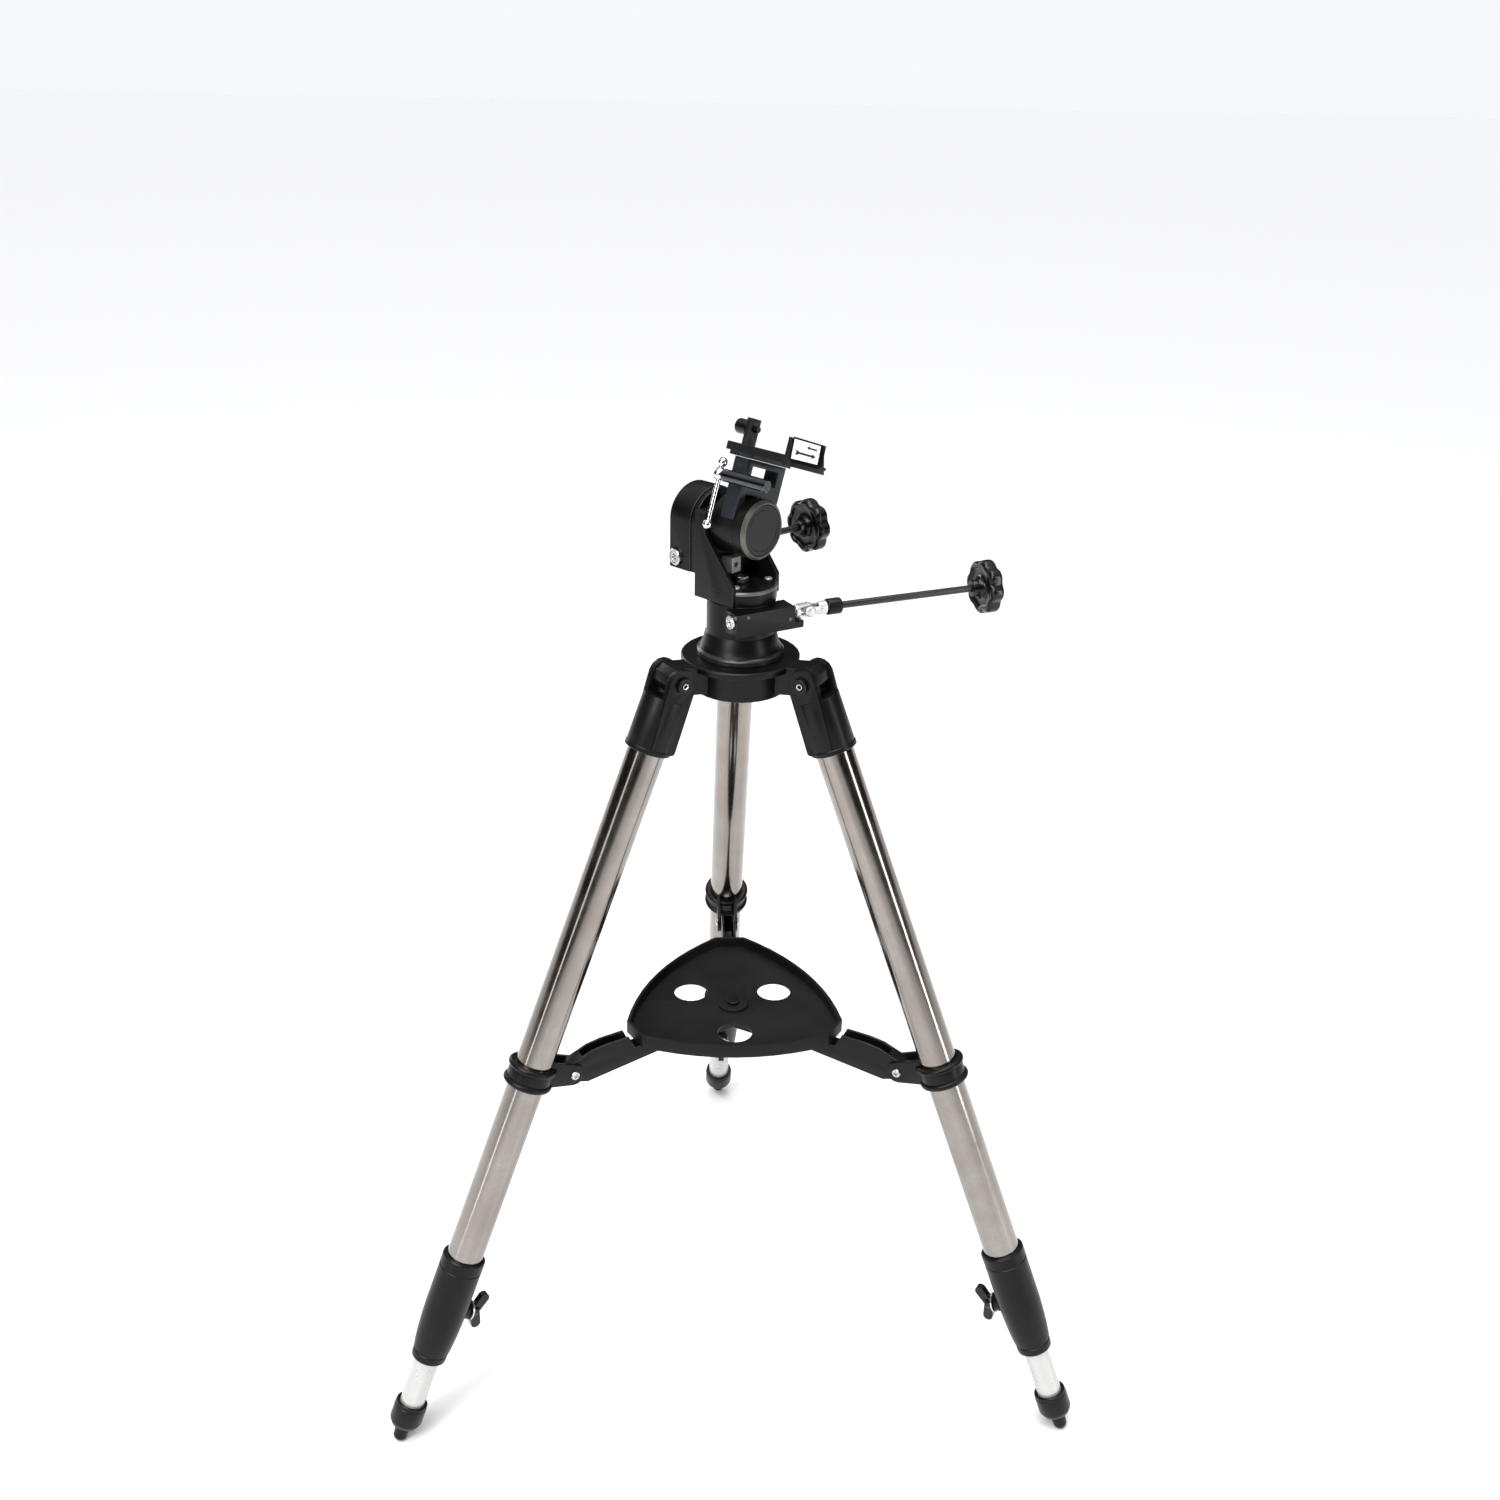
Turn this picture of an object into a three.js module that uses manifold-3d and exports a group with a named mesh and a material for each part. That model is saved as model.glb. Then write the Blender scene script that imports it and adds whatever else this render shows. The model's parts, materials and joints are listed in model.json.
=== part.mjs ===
// Hand-driven alt azimuth mount on a folding steel-tube tripod, with an empty saddle on top.
// Millimetres, +Z up. While the parts are made, the azimuth axis is the Z axis and the floor is z = 0.
import * as THREE from 'three';
import { mergeVertices } from 'three/addons/utils/BufferGeometryUtils.js';
import Module from 'manifold-3d';

const wasm = await Module();
wasm.setup();

// ---- driving dimensions ----
const GAP = 0.3;                        // between pieces that touch

// tripod
const LEG_AZIMUTHS = [90, 210, 330];
const LEG_SPLAY = 22.52;                // degrees from vertical
const LEG_PIVOT = { radius: 65, z: 683 };
const FOOT_END = 732.9;                 // pivot to the centre of the round tip, along the leg
const UPPER_TUBE = { outer: 16, inner: 14.5, top: -21, bottom: -604 };
const LOWER_TUBE = { outer: 11, inner: 9.6, top: -268, bottom: -719 };
const BRACKET = { outer: 19.2, top: -16, bottom: -62, cheekIn: 11.3, cheekOut: 18, eye: 12.5 };
const SLEEVE = { top: -546, bottom: -651, outer: 19.2, end: 15.4 };
const CUP = { outer: 14.6, top: -698, bottom: -723, tip: 6.5 };
const WING_AT = -604;
const HUB = { disc: 49.6, discTop: 693.4, discBottom: 688, drum: 40, drumBottom: 664, wall: 6 };

// spreader and tray
const COLLAR = { centre: -365, height: 20, outer: 19.6, ear: 9.6 };
const ARM_PIVOT = { radius: 167, z: 335.3 };
const ARM_WIDTH = 13;
const ARM_INNER = { radius: 24, z: 335.5, half: 3.4 };
const SPREADER_HUB = { radius: 9, bottom: 329, earIn: 7.3, earOut: 9.6, earEnd: 31 };
const TRAY = { bottom: 344, floor: 346.6, top: 356, corner: 103, cornerHalf: 14, side: 80, wall: 2.6 };
const TRAY_HOLE = { radius: 15.54, circle: 44.34 };

// pedestal and azimuth drive
const PEDESTAL = { flange: 36, neck: 28.5, bottom: HUB.discTop + GAP, top: 743, cavity: 25.2 };
const AZ_WORM = { azimuth: 26.5, offset: 28.2, z: 733, start: -24, end: 30, joint: 46.5, core: 4.2 };
const AZ_CASE = { depth: 7.8, bottom: -11.5, top: 7.6, noseEnd: 40, noseTop: -6.8 };
const WORM = { thread: 1.3, shaft: 3, pitch: 3.2 };
const WHEEL_TEETH = 48;
const ROD = { azimuth: 20.4, radius: 3, end: 150 };
const KNOB = { radius: 23.6, dip: 2.4, lobes: 8, depth: 13, hub: 8, hubLength: 7 };

// head
const HEAD_AZIMUTH = -44;
const ALT_Z = 803;
const TILT = 20;
const BRACKET_WALL = { outer: -26, inner: -15.3, half: 28.6, bottom: 743.6, top: 816, rib: 3.6 };
const FLOOR = { radius: 29, top: 755 };
const CASE = { outer: 28.6, rise: 25.8, far: -54, near: -26.3, split: -31, bottom: 762.5, wheelX: -42.7 };
const ALT_WORM = { core: 6.6, bore: 7.6, skew: 8.8, knobAt: 98 };
const ALT_WHEEL = 23.4;
const DRUM = { radius: 24.3, start: -14.9, end: 18, cap: 22 };
const ARM_BARS = { x: [-4.3, 9.5], front: [-25, -17], back: [16, 24], top: 52 };
const PLATE = { x: [-15, 45], y: [-26, 18], bottom: 55.5, top: 62 };
const BARREL = { y: -33, z: 35, radius: 5, start: -4, end: 41 };

// ---- helpers ----
const rad = THREE.MathUtils.degToRad;

function solid(geometry) {
  const bare = geometry.clone();
  bare.deleteAttribute('normal');
  bare.deleteAttribute('uv');
  const merged = mergeVertices(bare, 1e-4);
  return new wasm.Manifold(new wasm.Mesh({
    numProp: 3,
    vertProperties: new Float32Array(merged.attributes.position.array),
    triVerts: new Uint32Array(merged.index.array),
  }));
}

function box(x0, x1, y0, y1, z0, z1) {
  const geometry = new THREE.BoxGeometry(x1 - x0, y1 - y0, z1 - z0);
  return solid(geometry.translate((x0 + x1) / 2, (y0 + y1) / 2, (z0 + z1) / 2));
}

// How many flat sides a round of this radius gets.
function facets(radius) {
  if (radius < 3.5) return 10;
  if (radius < 8) return 14;
  return radius < 20 ? 20 : 32;
}

// A cylinder or cone along Z, Y or X from one coordinate to the other, through the point (u, v).
function rod(axis, from, to, radius, u = 0, v = 0, endRadius = radius, segments = facets(radius)) {
  const geometry = new THREE.CylinderGeometry(endRadius, radius, to - from, segments);
  geometry.translate(0, (from + to) / 2, 0);
  if (axis === 'z') geometry.rotateX(Math.PI / 2).translate(u, v, 0);
  if (axis === 'y') geometry.translate(u, 0, v);
  if (axis === 'x') geometry.rotateZ(-Math.PI / 2).translate(0, u, v);
  return solid(geometry);
}

// A turned solid about Z, from a profile of [radius, z] points, drawn upwards.
function turned(points, segments = 20) {
  const profile = points.map(([r, z]) => new THREE.Vector2(r, z));
  return solid(new THREE.LatheGeometry(profile, segments).rotateX(Math.PI / 2));
}

function ball(radius, x, y, z, segments = 12) {
  return solid(new THREE.SphereGeometry(radius, segments, segments / 2 + 1).translate(x, y, z));
}

// A closed outline in the plane across 'x' or 'y', or flat across 'z', pushed between two coordinates.
function plate(axis, from, to, shape, curveSegments = 10) {
  const options = { depth: to - from, bevelEnabled: false, curveSegments };
  const geometry = new THREE.ExtrudeGeometry(shape, options).translate(0, 0, from);
  if (axis === 'x') geometry.rotateZ(Math.PI / 2).rotateY(Math.PI / 2);
  if (axis === 'y') geometry.rotateX(Math.PI / 2).scale(1, -1, 1);
  const result = solid(axis === 'y' ? flipped(geometry) : geometry);
  return result;
}

function flipped(geometry) {
  const bare = geometry.index ? geometry.toNonIndexed() : geometry;
  const position = bare.attributes.position;
  const result = new THREE.BufferGeometry();
  const values = [];
  for (let i = 0; i < position.count; i += 3) {
    for (const corner of [i, i + 2, i + 1]) {
      values.push(position.getX(corner), position.getY(corner), position.getZ(corner));
    }
  }
  result.setAttribute('position', new THREE.Float32BufferAttribute(values, 3));
  return result;
}

const outline = (points) => new THREE.Shape(points.map(([a, b]) => new THREE.Vector2(a, b)));

// The hull of circles, given as [a, b, radius], as a closed outline.
function hullOutline(circles, steps = 7) {
  const points = [];
  for (const [a, b, radius] of circles) {
    for (let i = 0; i < steps * 2; i++) {
      const angle = (Math.PI * i) / steps;
      points.push([a + radius * Math.cos(angle), b + radius * Math.sin(angle)]);
    }
  }
  points.sort((p, q) => p[0] - q[0] || p[1] - q[1]);
  const cross = (o, p, q) => (p[0] - o[0]) * (q[1] - o[1]) - (p[1] - o[1]) * (q[0] - o[0]);
  const chain = (list) => {
    const kept = [];
    for (const point of list) {
      while (kept.length > 1 && cross(kept.at(-2), kept.at(-1), point) <= 1e-6) kept.pop();
      kept.push(point);
    }
    return kept.slice(0, -1);
  };
  return outline([...chain(points), ...chain(points.reverse())]);
}

const join = (first, ...rest) => rest.reduce((all, next) => all.add(next), first);
const cut = (first, ...rest) => rest.reduce((left, next) => left.subtract(next), first);

const finish = (color, roughness, metalness) => ({ color, roughness, metalness });
const BLACK_METAL = finish('#1b1a19', 0.45, 0.3);
const BLACK_PLASTIC = finish('#161616', 0.5, 0);
const GLOSS_BLACK = finish('#0e0e0e', 0.25, 0);
const STEEL = finish('#c9c2bb', 0.15, 1);
const SATIN_STEEL = finish('#d8d2cf', 0.35, 0.9);
const CHROME = finish('#dcdcdc', 0.08, 1);
const DARK_STEEL = finish('#6d747a', 0.3, 0.9);
const BRASS = finish('#b08d4a', 0.35, 1);

// Puts a named mesh in a group.
function piece(group, name, body, look) {
  const mesh = body.getMesh();
  const geometry = new THREE.BufferGeometry();
  geometry.setAttribute('position', new THREE.BufferAttribute(mesh.vertProperties.slice(), 3));
  geometry.setIndex(new THREE.BufferAttribute(mesh.triVerts.slice(), 1));
  geometry.computeVertexNormals();
  const result = new THREE.Mesh(geometry, new THREE.MeshStandardMaterial(look));
  result.name = name;
  group.add(result);
}

function frame(parent, x, y, z, order, ...angles) {
  const group = new THREE.Group();
  group.position.set(x, y, z);
  group.rotation.set(...angles.map(rad), order);
  parent.add(group);
  return group;
}

// ---- shared shapes ----

// A worm along Z: a core with one round thread wound on it, on a plain shaft.
function worm(from, to, threadFrom, threadTo, core) {
  class Helix extends THREE.Curve {
    getPoint(t, target = new THREE.Vector3()) {
      const z = threadFrom + t * (threadTo - threadFrom);
      const angle = (2 * Math.PI * (z - threadFrom)) / WORM.pitch;
      return target.set(core * Math.cos(angle), core * Math.sin(angle), z);
    }
  }
  const turns = (threadTo - threadFrom) / WORM.pitch;
  const section = hullOutline([[0, 0, WORM.thread / 2]], 2);
  const options = { steps: Math.round(turns * 7), extrudePath: new Helix(), bevelEnabled: false };
  const thread = solid(new THREE.ExtrudeGeometry(section, options));
  const body = rod('z', threadFrom - 2, threadTo + 2, core);
  return join(rod('z', from, to, WORM.shaft), body, thread);
}

// A worm wheel about Z with pointed teeth.
function wormWheel(radius, thickness, bore, depth = 1.6) {
  const points = [];
  for (let i = 0; i < WHEEL_TEETH * 2; i++) {
    const r = i % 2 ? radius - depth : radius;
    const angle = (Math.PI * i) / WHEEL_TEETH;
    points.push([r * Math.cos(angle), r * Math.sin(angle)]);
  }
  const blank = plate('z', -thickness / 2, thickness / 2, outline(points));
  return cut(blank, rod('z', -thickness, thickness, bore));
}

// A lobed hand knob about Z: its hub starts at z = 0, and its face looks along +Z.
function knob() {
  const points = [];
  const steps = KNOB.lobes * 6;
  for (let i = 0; i < steps; i++) {
    const angle = (2 * Math.PI * i) / steps;
    const r = KNOB.radius - KNOB.dip * (0.5 - 0.5 * Math.cos(KNOB.lobes * angle)) ** 2;
    points.push([r * Math.cos(angle), r * Math.sin(angle)]);
  }
  const face = KNOB.hubLength + KNOB.depth;
  const body = plate('z', KNOB.hubLength, face, outline(points));
  const hollow = cut(rod('z', KNOB.hubLength - 1, KNOB.hubLength + 7, 19), rod('z', 0, face, KNOB.hub));
  const hub = rod('z', 0, KNOB.hubLength + 1, KNOB.hub - 1.5, 0, 0, KNOB.hub);
  return cut(join(cut(body, hollow), hub), rod('z', -1, KNOB.hubLength + 5, WORM.shaft + GAP));
}

// One half of a universal joint: two ears about the centre, joined along +Z by a stem.
function yoke(stem, bore) {
  const ears = join(box(-5.6, 5.6, -3, 3, 0, 8), rod('x', -5.6, 5.6, 3));
  const neck = rod('z', 6.2, stem, 5);
  const gap = box(-3.3, 3.3, -8, 8, -8, 6);
  const pinHole = rod('x', -8, 8, 1.6);
  return cut(join(cut(ears, gap), neck), pinHole, rod('z', 8, stem + 1, bore));
}

// ---- the assembly ----
const mount = new THREE.Group();

function buildHub() {
  const earShape = hullOutline([
    [LEG_PIVOT.radius, LEG_PIVOT.z, BRACKET.eye - 0.6],
    [HUB.drum - 12, LEG_PIVOT.z - 5, 12],
  ], 5);
  const ear = plate('y', -BRACKET.cheekIn + GAP, BRACKET.cheekIn - GAP, earShape);
  const ears = LEG_AZIMUTHS.map((azimuth) => ear.rotate([0, 0, azimuth]));
  const inner = HUB.drum - HUB.wall;
  const disc = turned([
    [0, HUB.drumBottom + 16], [inner, HUB.drumBottom + 16], [inner, HUB.drumBottom],
    [HUB.drum - 1, HUB.drumBottom], [HUB.drum, HUB.drumBottom + 1], [HUB.drum, HUB.discBottom],
    [HUB.disc, HUB.discBottom], [HUB.disc, HUB.discTop - 1], [HUB.disc - 1, HUB.discTop], [0, HUB.discTop],
  ], 32);
  const recess = rod('z', HUB.drumBottom - 2, HUB.drumBottom + 16, inner);
  const pivots = LEG_AZIMUTHS.map((azimuth) => rod('y', -30, 30, 5.3, LEG_PIVOT.radius, LEG_PIVOT.z)
    .rotate([0, 0, azimuth]));
  const body = cut(join(disc, ...ears), recess, rod('z', 600, 700, 6.3), ...pivots);
  piece(mount, 'tripod_hub', body, BLACK_METAL);

  const shank = rod('z', HUB.drumBottom + 12, 712, 6, 0, 0, 6, 14);
  const head = rod('z', HUB.drumBottom + 4, HUB.drumBottom + 16 - GAP, 14, 0, 0, 14, 6);
  piece(mount, 'head_bolt', join(shank, head), SATIN_STEEL);
}

function buildPedestal() {
  const p = PEDESTAL;
  const body = turned([
    [0, p.bottom], [p.flange - 0.8, p.bottom], [p.flange, p.bottom + 0.8], [p.flange, p.bottom + 4],
    [p.flange - 2, p.bottom + 6], [31.5, 705], [30, 712], [p.neck, 714], [p.neck, p.top - 0.8],
    [p.neck - 0.8, p.top], [0, p.top],
  ], 32);
  const cavity = rod('z', 718, p.top + 1, p.cavity);
  const post = rod('z', 716, p.top - 4, 8);
  const window = alongAzWorm(rod('x', AZ_WORM.start + 8, AZ_WORM.end - 8, AZ_WORM.core + 2));
  const threads = join(rod('z', 690, 712.5, 6.3), rod('z', 722, p.top, 4.3));
  piece(mount, 'pedestal', cut(join(cut(body, cavity), post), window, threads), BLACK_METAL);
}

// Moves a solid drawn along X onto the azimuth worm's axis.
function alongAzWorm(body) {
  return body.translate([0, -AZ_WORM.offset, AZ_WORM.z]).rotate([0, 0, AZ_WORM.azimuth]);
}

function buildAzimuthDrive() {
  const p = AZ_WORM;
  const c = AZ_CASE;
  const block = box(p.start, p.end, -c.depth, c.depth + 3, c.bottom, c.top);
  const nose = join(
    box(p.end - 1, c.noseEnd - 3, -c.depth, c.depth, c.bottom, c.noseTop),
    rod('z', c.bottom, c.noseTop, 3, c.noseEnd - 3, -c.depth + 3),
    box(c.noseEnd - 4, c.noseEnd, -c.depth + 3, c.depth, c.bottom, c.noseTop),
  );
  const bore = rod('x', p.start - 1, p.end - 4, p.core + 1.1);
  const shaft = rod('x', p.end - 5, p.end + 3, WORM.shaft + 0.4);
  const plugBore = rod('x', p.start - 1, p.start + 3, 6.6);
  const placed = alongAzWorm(cut(join(block, nose), bore, shaft, plugBore));
  const clearance = rod('z', 700, 760, PEDESTAL.neck + GAP);
  const flare = rod('z', 690, 716, 40, 0, 0, 29);
  piece(mount, 'azimuth_worm_case', cut(placed, clearance, flare), BLACK_METAL);

  const plug = join(rod('x', p.start - 2, p.start + 2.7, 6.3), rod('x', p.start - 2.6, p.start, 5.4));
  const slot = box(p.start - 4, p.start - 1.6, -0.8, 0.8, -5, 5);
  piece(mount, 'azimuth_end_plug', alongAzWorm(cut(plug, slot)), SATIN_STEEL);

  const screw = worm(p.start + 4, p.joint - 9, -6, 6, p.core).rotate([0, 90, 0]);
  piece(mount, 'azimuth_worm', alongAzWorm(screw), SATIN_STEEL);

  const wheel = wormWheel(p.offset - p.core - WORM.thread / 2 - GAP, 9, 8.4);
  piece(frame(mount, 0, 0, p.z, 'XYZ', 0, 0, 0), 'azimuth_wheel', wheel, BRASS);
}

function buildControlRod() {
  const p = AZ_WORM;
  const direction = rad(p.azimuth);
  const centre = new THREE.Vector3(
    p.joint * Math.cos(direction) + p.offset * Math.sin(direction),
    p.joint * Math.sin(direction) - p.offset * Math.cos(direction),
    p.z,
  );
  const wormSide = frame(mount, ...centre, 'ZYX', 0, -90, p.azimuth);
  piece(wormSide, 'worm_yoke', yoke(13, WORM.shaft + GAP), CHROME);
  const block = box(-2.7, 2.7, -2.7, 2.7, -2.7, 2.7);
  const pins = join(block, rod('x', -5.2, 5.2, 1.3), rod('y', -5.2, 5.2, 1.3));

  const rodSide = frame(mount, ...centre, 'ZYX', 0, 90, ROD.azimuth);
  piece(rodSide, 'coupling_cross', pins, DARK_STEEL);
  const turn = frame(rodSide, 0, 0, 0, 'XYZ', 0, 0, 90);
  const sleeve = rod('z', 13, 26, 6.4, 0, 0, 6);
  const half = cut(join(yoke(14, ROD.radius + GAP), sleeve), rod('z', 8, 27, ROD.radius + GAP));
  piece(turn, 'rod_yoke', half, BLACK_PLASTIC);
  piece(turn, 'control_rod', rod('z', 9, ROD.end + 4, ROD.radius), DARK_STEEL);
  piece(frame(turn, 0, 0, ROD.end, 'XYZ', 0, 0, 0), 'azimuth_knob', knob(), GLOSS_BLACK);
}

function buildHead() {
  const head = frame(mount, 0, 0, 0, 'XYZ', 0, 0, HEAD_AZIMUTH);
  const w = BRACKET_WALL;
  const ribShape = outline([
    [w.outer, w.bottom], [15.7, w.bottom], [15.7, 760], [w.inner, 798.5], [w.inner, w.top], [w.outer, w.top],
  ]);
  const ribs = [-1, 1].map((side) => {
    const inner = side * (w.half - w.rib);
    const outer = side * w.half;
    return plate('y', Math.min(inner, outer), Math.max(inner, outer), ribShape);
  });
  const wall = box(w.outer, w.inner, -w.half, w.half, w.bottom, w.top);
  const floor = join(
    rod('z', w.bottom, FLOOR.top - 1, FLOOR.radius),
    rod('z', FLOOR.top - 1, FLOOR.top, FLOOR.radius, 0, 0, FLOOR.radius - 1),
    box(w.outer, 0, -w.half, w.half, w.bottom, FLOOR.top),
  );
  const bores = join(
    rod('z', 700, w.bottom + 5, 22),
    rod('z', 740, 760, 4.4),
    rod('x', -30, -10, 6.6, 0, ALT_Z),
  );
  piece(head, 'head_bracket', cut(join(floor, wall, ...ribs), bores), BLACK_METAL);

  const hex = rod('z', FLOOR.top + GAP, FLOOR.top + 5, 5.4, 0, 0, 5.4, 6);
  const bolt = join(rod('z', 724, FLOOR.top + 1, 4), hex);
  piece(head, 'centre_bolt', bolt, SATIN_STEEL);

  const block = box(w.inner + GAP, -3, -9, 2, 763, 776);
  piece(head, 'stop_block', cut(block, rod('x', -8, 0, 2.4, -3.5, 769.5)), finish('#8d8984', 0.6, 0));

  // worm case: the worm runs under the wheel, turned by its lead angle
  const c = CASE;
  const tomb = (grow) => {
    const shape = new THREE.Shape();
    shape.moveTo(-c.outer + grow, c.bottom);
    shape.lineTo(c.outer - grow, c.bottom);
    shape.lineTo(c.outer - grow, ALT_Z);
    shape.absellipse(0, ALT_Z, c.outer - grow, c.rise - grow, 0, Math.PI, false);
    return shape;
  };
  const wormZ = ALT_Z - ALT_WHEEL - GAP - ALT_WORM.core - WORM.thread / 2;
  const skewed = (body) => body.rotate([0, 0, -ALT_WORM.skew]).translate([c.wheelX, 0, wormZ]);
  const body = plate('x', c.far, c.split - GAP, tomb(0), 14);
  const hollow = rod('x', c.far + 3.5, c.split, ALT_WHEEL + 0.5, 0, ALT_Z);
  const wormBore = skewed(rod('y', -60, 60, ALT_WORM.bore));
  piece(head, 'altitude_case', cut(body, hollow, wormBore), BLACK_METAL);
  const base = cut(plate('x', c.split, c.near, tomb(0.8), 14), rod('x', -60, 0, 6.6, 0, ALT_Z), wormBore);
  piece(head, 'altitude_case_base', base, BLACK_METAL);

  const out = -c.outer - 1;
  const plug = join(rod('y', out - 1, out + 6, 7.2), rod('y', out - 1.6, out, 6));
  const slot = box(-4.5, 4.5, out - 4, out - 0.6, -0.8, 0.8);
  piece(head, 'altitude_end_plug', skewed(cut(plug, slot)), SATIN_STEEL);

  const drive = frame(head, c.wheelX, 0, wormZ, 'ZYX', -90, 0, -ALT_WORM.skew);
  const screw = worm(out + 8, ALT_WORM.knobAt + 4, -6, 6, ALT_WORM.core);
  piece(drive, 'altitude_worm', screw, SATIN_STEEL);
  piece(frame(drive, 0, 0, ALT_WORM.knobAt, 'XYZ', 0, 0, 0), 'altitude_knob', knob(), GLOSS_BLACK);
  buildArm(frame(head, 0, 0, ALT_Z, 'XYZ', -TILT, 0, 0));
}

function buildArm(arm) {
  const wheel = wormWheel(ALT_WHEEL, 8, 6.5);
  piece(frame(arm, CASE.wheelX, 0, 0, 'XYZ', 0, 90, 0), 'altitude_wheel', wheel, BRASS);
  piece(arm, 'altitude_axle', rod('x', CASE.far + 4, DRUM.start - GAP, 6.2), SATIN_STEEL);

  const d = DRUM;
  piece(arm, 'altitude_drum', rod('x', d.start, d.end, d.radius), BLACK_METAL);
  const cap = join(
    rod('x', d.end + GAP, d.cap - 1.8, d.radius),
    rod('x', d.cap - 1.8, d.cap, d.radius, 0, 0, d.radius - 2.6),
  );
  piece(arm, 'altitude_cap', cap, BLACK_PLASTIC);

  const b = ARM_BARS;
  const [x0, x1] = b.x;
  const bars = [b.front, b.back].map(([y0, y1]) => box(x0, x1, y0, y1, 3, b.top));
  const web = box(x0, x1, b.front[0], b.back[1], d.radius, d.radius + 10);
  const bridge = box(x0, x1, b.front[0], b.back[1], b.top - 5, b.top);
  const seat = rod('x', x0 - 1, x1 + 1, d.radius + GAP);
  const lug = box(x0 + 3, x1 - 3, BARREL.y, b.front[0] + 1, BARREL.z - 3.4, BARREL.z + 3.4);
  const barrelSeat = rod('x', x0, x1, BARREL.radius + GAP, BARREL.y, BARREL.z);
  piece(arm, 'saddle_arm', cut(join(...bars, web, bridge, lug), seat, barrelSeat), BLACK_METAL);

  const barrel = rod('x', BARREL.start, BARREL.end, BARREL.radius, BARREL.y, BARREL.z);
  const barrelBore = rod('x', BARREL.start - 1, BARREL.start + 16, 2.3, BARREL.y, BARREL.z);
  piece(arm, 'clamp_barrel', cut(barrel, barrelBore), DARK_STEEL);

  const hubX = -8.6;
  const screw = join(
    rod('x', hubX - 3.6, BARREL.start - GAP, 4.7, BARREL.y, BARREL.z),
    rod('x', BARREL.start - 1, BARREL.start + 14, 2, BARREL.y, BARREL.z),
  );
  piece(arm, 'tommy_screw', cut(screw, rod('z', 20, 50, 2.3, hubX, BARREL.y)), CHROME);
  const bar = join(
    rod('z', BARREL.z - 40.6, BARREL.z + 9.4, 2, hubX, BARREL.y),
    ball(4, hubX, BARREL.y, BARREL.z + 9.4),
    ball(4, hubX, BARREL.y, BARREL.z - 40.6),
  );
  piece(arm, 'tommy_bar', bar, CHROME);
  buildSaddle(arm);
}

function buildSaddle(arm) {
  const [x0, x1] = PLATE.x;
  const [y0, y1] = PLATE.y;
  const p = PLATE;
  const slab = box(x0, x1, y0, y1, p.bottom, p.top);
  const foot = box(-11, 14, y0 + 1, y1 + 6, ARM_BARS.top + GAP, p.bottom);
  const boss = rod('z', ARM_BARS.top + GAP, p.bottom, 13, -2, y0 + 13);
  const jaw = plate('y', y0, y1, outline([
    [x1, p.bottom - 1.5], [x1 + 8, p.bottom - 1.5], [x1 + 1, 76],
    [x1 - 1, 76], [x1 - 1, p.top], [x1 - 2, p.bottom],
  ]));
  const lugX = x0 - 9;
  const lug = join(box(lugX, x0 + 2, 2, 14, p.bottom, p.top), box(lugX, lugX + 5, 2, 14, p.bottom, 84));
  const screwHole = rod('x', lugX - 4, x0 + 4, 2.8, 8, 76);
  piece(arm, 'saddle', cut(join(slab, foot, boss, jaw, lug), screwHole), BLACK_METAL);

  const knobEnd = lugX - GAP;
  const grip = rod('x', knobEnd - 12, knobEnd, 6.2, 8, 76);
  const clamp = join(grip, rod('x', knobEnd - 1, lugX + 10, 2.4, 8, 76));
  piece(arm, 'saddle_clamp_knob', clamp, GLOSS_BLACK);

  // the direction plate stands just in front of the jaw, on a ledge
  const near = y0 - GAP;
  const tab = plate('y', near - 3, near, outline([[51.3, 58.9], [82, 58.9], [81.4, 75.4], [51.3, 76.8]]));
  const ledge = box(x1 + 9.2, 82, near - 3, near + 6, 57.2, 59.5);
  piece(arm, 'direction_plate', join(tab, ledge), BLACK_PLASTIC);
}

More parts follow.
